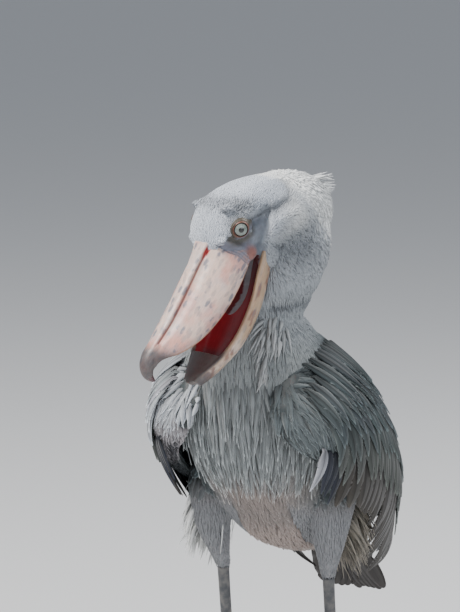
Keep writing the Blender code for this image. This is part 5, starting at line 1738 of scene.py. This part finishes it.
def scatter(made, spacing, keep, seed):
    """Root points and directions out of the skin, thrown over a mesh with its own spacing at each place."""
    rng = np.random.default_rng(seed)
    corners, normals = face_arrays(made)
    middle = corners.mean(axis=1)
    wanted = keep(middle, unit(normals.mean(axis=1)))
    corners, normals, middle = corners[wanted], normals[wanted], middle[wanted]
    area = np.linalg.norm(np.cross(corners[:, 1] - corners[:, 0], corners[:, 2] - corners[:, 0]), axis=1) / 2
    expect = 3.2 * area / spacing(middle) ** 2
    count = rng.poisson(expect)
    index = np.repeat(np.arange(len(area)), count)
    a, b = rng.uniform(size=(2, len(index)))
    over = a + b > 1
    a, b = np.where(over, 1 - a, a), np.where(over, 1 - b, b)
    weights = np.stack([1 - a - b, a, b], axis=1)[..., None]
    points = (corners[index] * weights).sum(axis=1)
    facing = unit((normals[index] * weights).sum(axis=1))
    reach = spacing(points) * 0.86
    tree = KDTree(len(points))
    for i, p in enumerate(points):
        tree.insert(p, i)
    tree.balance()
    taken = np.zeros(len(points), bool)
    chosen = []
    for i in rng.permutation(len(points)):
        if taken[i]:
            continue
        chosen.append(i)
        for found in tree.find_range(points[i], reach[i]):
            taken[found[1]] = True
    return points[chosen], facing[chosen], rng


def lie(points):
    """The way feathers point, before they are laid on the skin."""
    x, y, z = points.T
    side = np.sign(x) * smooth_step(0.02, 0.10, np.abs(x))
    breast = np.stack([-0.12 * side, np.full(len(x), 0.10), np.full(len(x), -1.0)], axis=1)
    back = np.stack([0.10 * side, np.full(len(x), 0.80), np.full(len(x), -0.66)], axis=1)
    belly = np.array([0.0, 1.0, -0.35])
    w_back = smooth_step(-0.09, 0.02, y)[:, None]
    body = breast * (1 - w_back) + back * w_back
    w_belly = (smooth_step(0.60, 0.50, z) * smooth_step(-0.10, 0.06, y) * (np.abs(x) < 0.05))[:, None]
    body = body * (1 - w_belly) + belly * w_belly
    thigh = ((np.abs(x) > 0.04) & (z < 0.60))[:, None] * smooth_step(0.60, 0.54, z)[:, None]
    body = body * (1 - thigh) + (0.12 * BACKWARDS - SKY) * thigh
    along, aside, up = head_place(points).T
    crown = -FORWARD + 0.25 * LEFT * (np.sign(aside) * smooth_step(0.02, 0.05, np.abs(aside)))[:, None]
    cheek = -0.55 * FORWARD - 0.9 * SKY
    w_cheek = smooth_step(0.016, -0.010, up)[:, None]
    head = crown * (1 - w_cheek) + cheek * w_cheek
    w_nape = smooth_step(-0.105, -0.125, along)[:, None]
    head = head * (1 - w_nape) + (0.25 * BACKWARDS - SKY) * w_nape
    w_head = smooth_step(0.86, 0.93, z)[:, None]
    return unit(body * (1 - w_head) + head * w_head)


SMALL = np.array([0.0, 0.30, 0.68, 1.0])
MIDDLE = np.array([0.0, 0.16, 0.40, 0.64, 0.85, 1.0])


def laid_spines(roots, facing, flow, length, stand, lift, tree, stations, root_depth=0.0015):
    """Middle lines that leave the skin at their roots and lie along it to their ends."""
    flow = unit(flow - facing * np.einsum("ij,ij->i", flow, facing)[:, None])
    ends = roots + flow * length[:, None]
    end_at, end_face = np.empty_like(ends), np.empty_like(ends)
    for i, p in enumerate(ends):
        end_at[i], end_face[i] = tree.find_nearest(p)[:2]
    end_face = unit(end_face + 0.35 * facing)
    chord = np.linalg.norm(end_at - roots, axis=1, keepdims=True)
    far = end_at - roots
    first = flow * chord
    last = unit(far - end_face * np.einsum("ij,ij->i", far, end_face)[:, None]) * chord
    t = stations[None, :, None]
    line = ((2 * t**3 - 3 * t**2 + 1) * roots[:, None] + (t**3 - 2 * t**2 + t) * first[:, None]
            + (3 * t**2 - 2 * t**3) * end_at[:, None] + (t**3 - t**2) * last[:, None])
    face = unit(facing[:, None] * (1 - t) + end_face[:, None] * t)
    rise = np.where(t < 0.01, -root_depth, stand[:, None, None] * np.sqrt(t) + lift[:, None, None] * t**1.6)
    return line + face * rise, face


# %% [markdown]
# The bake map of the coat is the skin unrolled: its rows run along the bird's middle line from tail to
# bill, and its columns run round the body. Each thigh has a strip of its own beside it.

# %% The coat's bake map
def middle_line():
    """Points from the tail along the body and neck to the bill."""
    torso = spline(TORSO_ROWS, 60)[:, :3]
    neck = spline(NECK_ROWS, 30)[:, :3]
    head = at_head(*spline([(a, 0.0, c, 0.0) for a, c, *_ in HEAD_ROWS], 40)[:, :3].T)[::-1]
    return np.concatenate([torso, neck, head])


MIDDLE_LINE = middle_line()


def coat_map(points):
    """Each point's place on the unrolled skin."""
    away = np.linalg.norm(points[:, None, :] - MIDDLE_LINE[None, :, :], axis=2)
    near = away.argmin(axis=1)
    v = near / (len(MIDDLE_LINE) - 1)
    off = points - MIDDLE_LINE[near]
    along = unit(np.gradient(MIDDLE_LINE, axis=0))[near]
    side = unit(SIDEWAYS - along * along[:, :1])
    back = np.cross(along, side)
    angle = np.arctan2(np.einsum("ij,ij->i", off, side), np.einsum("ij,ij->i", off, back))
    u = 0.02 + 0.84 * (angle / (2 * math.pi) + 0.5)
    thigh = (np.abs(points[:, 0]) > 0.045) & (points[:, 2] < 0.56)
    turn = np.arctan2(points[:, 1] - 0.03, np.abs(points[:, 0]) - 0.084) / (2 * math.pi) + 0.5
    strip = np.where(points[:, 0] > 0, 0.885, 0.945)
    u = np.where(thigh, strip + 0.05 * turn, u)
    v = np.where(thigh, (points[:, 2] - 0.42) / 0.15, v)
    return np.stack([u, 0.01 + 0.98 * np.clip(v, 0, 1)], axis=1)


# %% [markdown]
# ## Face and crown
#
# The head's feathers are tiny and lie close, like felt, but stand up in a ruffled ridge over the eye and
# in whorls on the puffed cheek, where their dark tips make a mottled patch.

# %% Head feathers
HEAD_FLOOR = 0.905
FACE_SPACING = 0.0017


def on_head(points):
    """True where the head's small feathers grow."""
    along = head_place(points)[:, 0]
    return (points[:, 2] > HEAD_FLOOR) | ((along > -0.02) & (points[:, 2] > 0.86) & (points[:, 1] < -0.125))


def head_keep(points, normals):
    along, side, up = head_place(points).T
    horn = (along > 0.030) | ((along > 0.012) & (up < 0.050))
    wedge = np.abs(side) < 0.020 + 0.5 * (0.040 - along)
    free = (bare_face(points) < 0.5) & ~in_mouth(points, 0.004) & ~in_bill(points)
    return on_head(points) & free & ~(horn & ~wedge) & (along < 0.040)


def ruffle(points):
    """How ruffled the head's feathers are: high on the brow and on the middle of the cheek."""
    along, _, up = head_place(points).T
    back, high = level_place(along + 0.028, up - 0.066)
    brow = np.exp(-((back / 0.026) ** 2 + (high / 0.0075) ** 2))
    whorl = np.exp(-(((along + 0.060) / 0.036) ** 2 + ((up + 0.040) / 0.032) ** 2))
    return brow, whorl


def head_spacing(points):
    """Distance between roots: least on the face, more on the neck and the nape."""
    along, _, up = head_place(points).T
    back = level_place(along, up)[0]
    return (FACE_SPACING + 0.0011 * smooth_step(0.955, 0.915, points[:, 2])
            + 0.0009 * smooth_step(0.070, 0.110, back))


def make_head_coat():
    """The head's feathers, smallest on the face, on end at the brow and the nape."""
    roots, facing, rng = scatter(skin, head_spacing, head_keep, 21)
    count = len(roots)
    brow, whorl = ruffle(roots)
    along, side, up = head_place(roots).T
    nape = smooth_step(0.075, 0.115, level_place(along, up)[0]) * smooth_step(0.915, 0.95, roots[:, 2])
    size = head_spacing(roots) / FACE_SPACING
    length = (0.0070 * size + 0.016 * nape) * rng.uniform(0.8, 1.2, count) * (1 + 0.5 * brow + 0.35 * whorl)
    width = 0.0031 * size**0.8 * rng.uniform(0.8, 1.15, count) * (1 + 0.9 * nape)
    wild = 0.07 + 0.45 * brow + 0.40 * whorl + 0.10 * nape
    flow = unit(lie(roots) + rng.normal(0, 1, (count, 3)) * wild[:, None])
    stand = 0.0006 + 0.0008 * nape
    lift = 0.0036 * brow * rng.uniform(0.2, 1, count) * np.where(side < 0, 0.4, 1.0)
    lift = lift + 0.0018 * whorl * rng.uniform(0, 1, count) + 0.0002 * size
    lift = lift + 0.0026 * nape * rng.uniform(0.1, 1, count)
    spine, face = laid_spines(roots, facing, flow, length, stand, lift, skin_tree, SMALL)
    colour = plumage(roots) * rng.uniform(0.94, 1.05, count)[:, None]
    speck = (rng.uniform(0, 1, count) < 0.40 * whorl + 0.50 * brow)
    colour = colour * np.where(speck, rng.uniform(0.45, 0.8, count), 1.0)[:, None]
    marks = feather_marks(rng, 0.06 + 0.2 * whorl, 0.08 + 0.4 * whorl)
    bake = coat_map(roots)
    crown = up + 0.25 * (along + 0.05) > 0.004
    pieces = []
    for name, part in (("crown_feathers", crown), ("cheek_feathers", ~crown)):
        pieces.append(dress(pour_feathers(
            name, spine[part], face[part], width[part], 0.0003, SMALL, "small", bake[part], colour[part],
            marks[part], tip=0.45, point=0.40, camber=0.03, twist=rng.normal(0, 0.05, part.sum())), DOWN))
    return pieces


head_coats = make_head_coat()
print("head feather faces:", [len(o.data.polygons) for o in head_coats])

# %% [markdown]
# ## Neck, breast, back, belly and thighs
#
# Down the neck the feathers grow longer and narrower until they hang over the breast as loose pointed
# plumes. On the back they are broad and dark with pale edges, on the belly and thighs soft and downy.

# %% Body feathers
def wing_covers(points):
    """True on the skin that the wings hide."""
    x, y, z = points.T
    inside = (y > -0.06) & (y < 0.24)
    row = table_at(WING_ROWS, np.clip(y, -0.15, 0.33))
    return inside & (np.abs(x) > 0.075) & (z < row[:, 1] - 0.045) & (z > row[:, 5] + 0.035)


def body_keep(points, normals):
    hidden = wing_covers(points) | in_mouth(points, 0.004) | in_bill(points)
    return ~on_head(points) & ~hidden & (points[:, 2] > 0.4285)


def body_zones(points):
    """How much each place belongs to the neck, the breast, the back, the belly and the thighs."""
    x, y, z = points.T
    thigh = (np.abs(x) > 0.045) * smooth_step(0.585, 0.555, z)
    neck = smooth_step(0.745, 0.815, z)
    back = smooth_step(-0.085, -0.02, y) * smooth_step(0.46, 0.58, z + 0.25 * (y - 0.05))
    back = back * (1 - neck) * (1 - thigh)
    belly = smooth_step(0.60, 0.53, z) * (1 - thigh) * (1 - back)
    breast = np.clip(1 - thigh - neck - back - belly, 0, 1)
    return neck, breast, back, belly, thigh


def body_size(points, neck, breast, back, belly, thigh):
    """A value blended from one for each zone."""
    zones = body_zones(points)
    total = sum(zones) + 1e-6
    return sum(w * v for w, v in zip(zones, (neck, breast, back, belly, thigh))) / total


def body_spacing(points):
    """Distance between roots."""
    return body_size(points, 0.0029, 0.0042, 0.0088, 0.0048, 0.0040)


HEM_HANG = 0.447            # below this height the thigh's feathers hang straight


def hung_lines(roots, facing, flow, length):
    """Straight middle lines, for the hem of the thigh that hangs a little over the leg."""
    flow = unit(flow - facing * np.einsum("ij,ij->i", flow, facing)[:, None])
    t = MIDDLE[None, :, None]
    rise = np.where(t < 0.01, -0.0015, 0.0012 * np.sqrt(t))
    return roots[:, None] + flow[:, None] * length[:, None, None] * t + facing[:, None] * rise


def make_body_coat():
    """The feathers of neck, breast, back, belly and thighs, as one coat in several pieces."""
    roots, facing, rng = scatter(skin, body_spacing, body_keep, 22)
    count = len(roots)
    hem = smooth_step(0.445, 0.490, roots[:, 2])
    length = body_size(roots, 0.015, 0.032, 0.042, 0.030, 0.015) * rng.uniform(0.8, 1.2, count)
    length = length * (0.50 + 0.50 * hem)
    width = body_size(roots, 0.0037, 0.0046, 0.0170, 0.0056, 0.0040) * rng.uniform(0.8, 1.2, count)
    width = width * (0.45 + 0.55 * hem)
    loose = body_size(roots, 0.05, 0.09, 0.07, 0.16, 0.10)
    flow = unit(lie(roots) + rng.normal(0, 1, (count, 3)) * loose[:, None])
    stand = body_size(roots, 0.0012, 0.0016, 0.0024, 0.0018, 0.0011) * (0.2 + 0.8 * hem)
    lift = body_size(roots, 0.0004, 0.0008, 0.0018, 0.0016, 0.0006) * rng.uniform(0.3, 1.3, count)
    lift = lift * (0.3 + 0.7 * hem)
    spine, face = laid_spines(roots, facing, flow, length, stand, lift, skin_tree, MIDDLE)
    hanging = (roots[:, 2] < HEM_HANG)[:, None, None]
    spine = np.where(hanging, hung_lines(roots, facing, flow, 1.25 * length), spine)
    vary = body_size(roots, 0.04, 0.09, 0.16, 0.07, 0.05)
    tint = plumage(roots) * (1 + vary * rng.uniform(-1, 1, count))[:, None]
    rim = body_size(roots, 0.10, 0.22, 0.55, 0.15, 0.10) * rng.uniform(0.5, 1.3, count)
    core = body_size(roots, 0.12, 0.40, 0.75, 0.18, 0.06)
    marks = feather_marks(rng, rim, core)
    point = body_size(roots, 0.75, 0.90, 0.35, 0.80, 0.90)
    bake = coat_map(roots)
    pieces = []
    y, z = roots[:, 1], roots[:, 2]
    trunk, low, leg = (z <= 0.80) & (z > 0.56), z <= 0.56, body_zones(roots)[4] >= 0.5
    groups = {"neck_feathers": z > 0.855, "collar_feathers": (z > 0.80) & (z <= 0.855),
              "breast_feathers": trunk & (y < -0.02), "back_feathers": trunk & (y >= -0.02),
              "belly_feathers": low & ~leg, "thigh_feathers": low & leg}
    for name, part in groups.items():
        pieces.append(dress(pour_feathers(
            name, spine[part], face[part], width[part], 0.0005, MIDDLE, "middling", bake[part], tint[part],
            marks[part], tip=0.40, point=point[part], camber=0.06, twist=rng.normal(0, 0.07, part.sum())), DOWN))
    return pieces


body_coats = make_body_coat()
print("body feather faces:", {o.name: len(o.data.polygons) for o in body_coats})

# %% [markdown]
# ## Breast plumes and crest
#
# Over the breast hang some hundreds of long pointed plumes, and the back of the crown carries the
# shaggy tuft that the species is known for.

# %% Plumes and crest
LONG = np.array([0.0, 0.08, 0.20, 0.36, 0.54, 0.72, 0.88, 1.0])


def make_plumes():
    """Long pointed plumes over the breast."""
    def keep(points, normals):
        x, y, z = points.T
        return (z > 0.61) & (z < 0.765) & (y < -0.07) & (normals[:, 1] < -0.15) & (np.abs(x) < 0.118)

    roots, facing, rng = scatter(skin, lambda p: np.full(len(p), 0.0086), keep, 23)
    count = len(roots)
    low = smooth_step(0.66, 0.62, roots[:, 2])
    length = (0.074 - 0.014 * low) * rng.uniform(0.75, 1.2, count)
    width = 0.0085 * rng.uniform(0.7, 1.3, count)
    flow = unit(lie(roots) + rng.normal(0, 0.10, (count, 3)))
    spine, face = laid_spines(roots, facing, flow, length, np.full(count, 0.0040),
                              0.0055 * rng.uniform(0.4, 1.5, count), skin_tree, LONG, 0.003)
    tint = plumage(roots) * rng.uniform(0.85, 1.30, count)[:, None]
    marks = feather_marks(rng, rng.uniform(0.5, 1.1, count), rng.uniform(0.6, 1.1, count))
    return dress(pour_feathers("breast_plumes", spine, face, width, 0.0007, LONG, "middling", coat_map(roots),
                               tint, marks, tip=0.30, point=0.95, camber=0.22,
                               twist=rng.normal(0, 0.2, count), notches=1), DOWN)


CREST_ROOT, CREST_COUNT = (-0.156, 0.006, -0.028), 190


def make_crest():
    """Locks that spring from the back of the crown and droop a little."""
    rng = np.random.default_rng(24)
    count = CREST_COUNT
    place = rng.uniform(-1, 1, count)
    low = rng.uniform(0, 1, count) ** 1.4 * 0.034
    backwards = unit(np.array([-FORWARD[0], -FORWARD[1], 0.0]))
    rise = 0.15 - 16 * low + rng.normal(0, 0.035, count)
    way = unit(backwards + LEFT * (0.16 * place)[:, None] + SKY * rise[:, None])
    start = (at_head(*CREST_ROOT) + LEFT * (0.027 * place)[:, None]
             - SKY * (low + 0.012 * place**2)[:, None] - way * 0.020)
    length = 0.074 * (1.0 - 0.35 * place**2) * rng.uniform(0.65, 1.08, count)
    length = length * (1 - 9 * np.clip(low - 0.01, 0, 1))
    t = LONG[None, :, None]
    droop = SKY * (rng.uniform(0.002, 0.014, count)[:, None, None] * t**2)
    spine = start[:, None] + way[:, None] * (length[:, None, None] * t) - droop
    face = np.broadcast_to(unit(SKY - way * way[:, 2:3])[:, None], spine.shape)
    tint = TINTS["nape"] * rng.uniform(0.80, 1.05, count)[:, None]
    marks = feather_marks(rng, rng.uniform(0.1, 0.4, count), rng.uniform(0.2, 0.6, count))
    return dress(pour_feathers("crest_plumes", spine, face, rng.uniform(0.0080, 0.0150, count), 0.0005, LONG,
                               "middling", coat_map(start), tint, marks, tip=0.30, point=0.8,
                               camber=0.2, twist=rng.normal(0, 0.35, count), notches=1), DOWN)


def make_wisps():
    """Loose feathers: ruffled ones on the neck's left side and a fluff behind each thigh."""
    rng = np.random.default_rng(25)
    # Each: where, how widely strewn, how many, the way they point, length, wildness and colour
    spots = [((0.052, -0.128, 0.832), 0.011, 42, (-0.30, -0.30, -1.0), 0.034, 0.28, "#babdbe"),
             ((0.048, -0.150, 0.786), 0.005, 12, (-0.10, -0.40, -1.0), 0.022, 0.40, "#b2b4b4"),
             # The fluff behind the right thigh: its own pale down, painted near-white as painted light
             ((-0.142, 0.058, 0.512), 0.018, 420, (-0.20, 0.22, -1.0), 0.050, 0.15, "#f2f3f1"),
             ((0.106, 0.085, 0.500), 0.018, 260, (0.10, 0.50, -1.0), 0.056, 0.16, "#938c81")]
    spines, faces, roots, tints = [], [], [], []
    for centre, spread, count, way, length, wild, colour in spots:
        for _ in range(count):
            found = skin_tree.find_nearest(np.array(centre) + rng.normal(0, spread, 3))
            at, face = np.array(found[0]), np.array(found[1])
            flow = unit(np.array(way) + rng.normal(0, wild, 3))
            reach = length * rng.uniform(0.45, 1.15)
            out = unit(face + np.array([0.0, -0.2, 0.1]))
            spines.append(at + flow * (reach * LONG[:, None]) + out * (-0.003 + 0.016 * np.sqrt(LONG))[:, None]
                          - SKY * (0.010 * LONG**2)[:, None])
            faces.append(np.tile(out, (len(LONG), 1)))
            roots.append(at)
            tints.append(linear(colour))
    spine, face, roots = np.array(spines), np.array(faces), np.array(roots)
    count = len(spine)
    tint = np.array(tints) * rng.uniform(0.75, 1.1, count)[:, None]
    marks = feather_marks(rng, rng.uniform(0.1, 0.3, count), rng.uniform(0.1, 0.4, count))
    return dress(pour_feathers("loose_wisps", spine, face, 0.0078 * rng.uniform(0.6, 1.4, count), 0.0005, LONG,
                               "middling", coat_map(roots), tint, marks, tip=0.25, point=0.95,
                               camber=0.2, twist=rng.normal(0, 0.5, count), notches=1), DOWN)


wisps = make_wisps()
plumes, crest = make_plumes(), make_crest()
print("plume and crest faces:", len(plumes.data.polygons), len(crest.data.polygons))

# %% [markdown]
# ## Marginal coverts
#
# The front of the wing, its upper edge and the fold that faces the breast are clad in small feathers,
# scattered over the slab of flesh itself.

# %% Small feathers of the wings
def wing_height(points):
    """How high on the wing points are: 0 at its lower edge, 1 at its upper edge."""
    row = table_at(WING_ROWS, np.clip(points[:, 1], -0.15, 0.33))
    return (points[:, 2] - row[:, 5]) / (row[:, 1] - row[:, 5])


def make_marginals(core, sign, word):
    """The small feathers on the slab of one wing, where the large ones leave it open."""
    tree = tree_of(core)

    def keep(points, normals):
        x, y, _ = points.T
        high, outer = wing_height(points), np.sign(x) * normals[:, 0]
        return (y < -0.095) | (high > 0.88) | ((outer < 0.1) & (y < -0.02)) | (high < 0.16)

    roots, facing, rng = scatter(core, lambda p: np.full(len(p), 0.0060), keep, 31 + sign)
    count = len(roots)
    high = wing_height(roots)
    flow = np.array([0.0, 0.35, -1.0]) + np.array([0, 0.9, 0.2]) * smooth_step(0.70, 0.78, roots[:, 2])[:, None]
    flow = unit(flow + rng.normal(0, 0.10, (count, 3)))
    length = (0.050 if sign > 0 else 0.028 + 0.026 * smooth_step(0.3, 0.7, high)) * rng.uniform(0.8, 1.2, count)
    spine, face = laid_spines(roots, facing, flow, length, np.full(count, 0.0018), np.full(count, 0.0014),
                              tree, MIDDLE)
    front = smooth_step(-0.08, -0.13, roots[:, 1])[:, None]
    if sign > 0:
        tint = TIER_TINTS["lesser"] + (TIER_TINTS["marginal"] - TIER_TINTS["lesser"]) * front
    else:
        # On the right wing the top marginals are painted white as sunlit, those under them the strip's grey as
        # painted shade, and the lowest navy as deep painted shade
        top, low = smooth_step(0.30, 0.70, high)[:, None], smooth_step(0.14, 0.04, high)[:, None]
        tint = TIER_TINTS["strip"] * (1 - top) + TIER_TINTS["white"] * top
        front = smooth_step(-0.03, -0.09, roots[:, 1])[:, None]
        tint = TIER_TINTS["lesser"] + (tint - TIER_TINTS["lesser"]) * front
        tint = tint * (1 - low) + TIER_TINTS["navy"] * low
    tint = tint * rng.uniform(0.85, 1.15, count)[:, None]
    marks = feather_marks(rng, rng.uniform(0.3, 0.9, count), rng.uniform(0.4, 0.9, count))
    bake = wing_map(roots[:, 1], roots[:, 2])
    width = 0.0080 * rng.uniform(0.8, 1.2, count)
    return dress(pour_feathers(f"marginal_feathers_{word}", spine, face, width, 0.0005, MIDDLE, "middling", bake,
                               tint, marks, tip=0.35, point=0.9, camber=0.12,
                               twist=rng.normal(0, 0.1, count)), DOWN)


marginals = [make_marginals(core, sign, word) for core, (sign, word) in zip(wing_cores, SIDE_WORD.items())]
print("marginal covert faces:", [len(o.data.polygons) for o in marginals])

# %% [markdown]
# ## Riding, replacing and finishing
#
# The model is still, so every piece rides on its one body, and the solids that it stands for are hidden.
# The size of the dressed bird is printed.

# %% Hand the pieces to the frame
BODY = next(iter(frame["bodies"]))
FLESH = ("torso", "neck", "head", "thigh_left", "thigh_right")


def hand_over(piece, slot, *nodes):
    """Puts a piece on the body in place of the solids that it stands for, and hides them; slot is not used."""
    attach(piece, BODY)
    if nodes:
        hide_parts(*nodes)


hand_over(skin, "slate_feather", *FLESH)
hand_over(bill_upper, "bill", "bill_upper")
hand_over(bill_lower, "bill", "bill_lower")
for i, word in enumerate(SIDE_WORD.values()):
    hand_over(eyes[i], "eye", f"eye_{word}")
    hand_over(lids[i], "slate_feather")
    hand_over(legs[i], "leg_scale", f"leg_{word}")
    hand_over(feet[i], "leg_scale", f"foot_{word}")
    hand_over(wing_cores[i], "slate_feather", f"wing_{word}")
    hand_over(wing_coats[i], "slate_feather")
    hand_over(marginals[i], "slate_feather")
for node, claw in claws.items():
    hand_over(claw, "claw", node)
hand_over(tail_root, "dark_feather", "tail")
hand_over(tail_coat, "dark_feather")
for piece in (*head_coats, *body_coats, plumes, crest, wisps):
    hand_over(piece, "pale_feather" if piece.name.startswith("thigh") else "slate_feather")

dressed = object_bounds()
print("made in", round(time.time() - began, 1), "s; box", [tuple(round(v, 3) for v in p) for p in dressed])
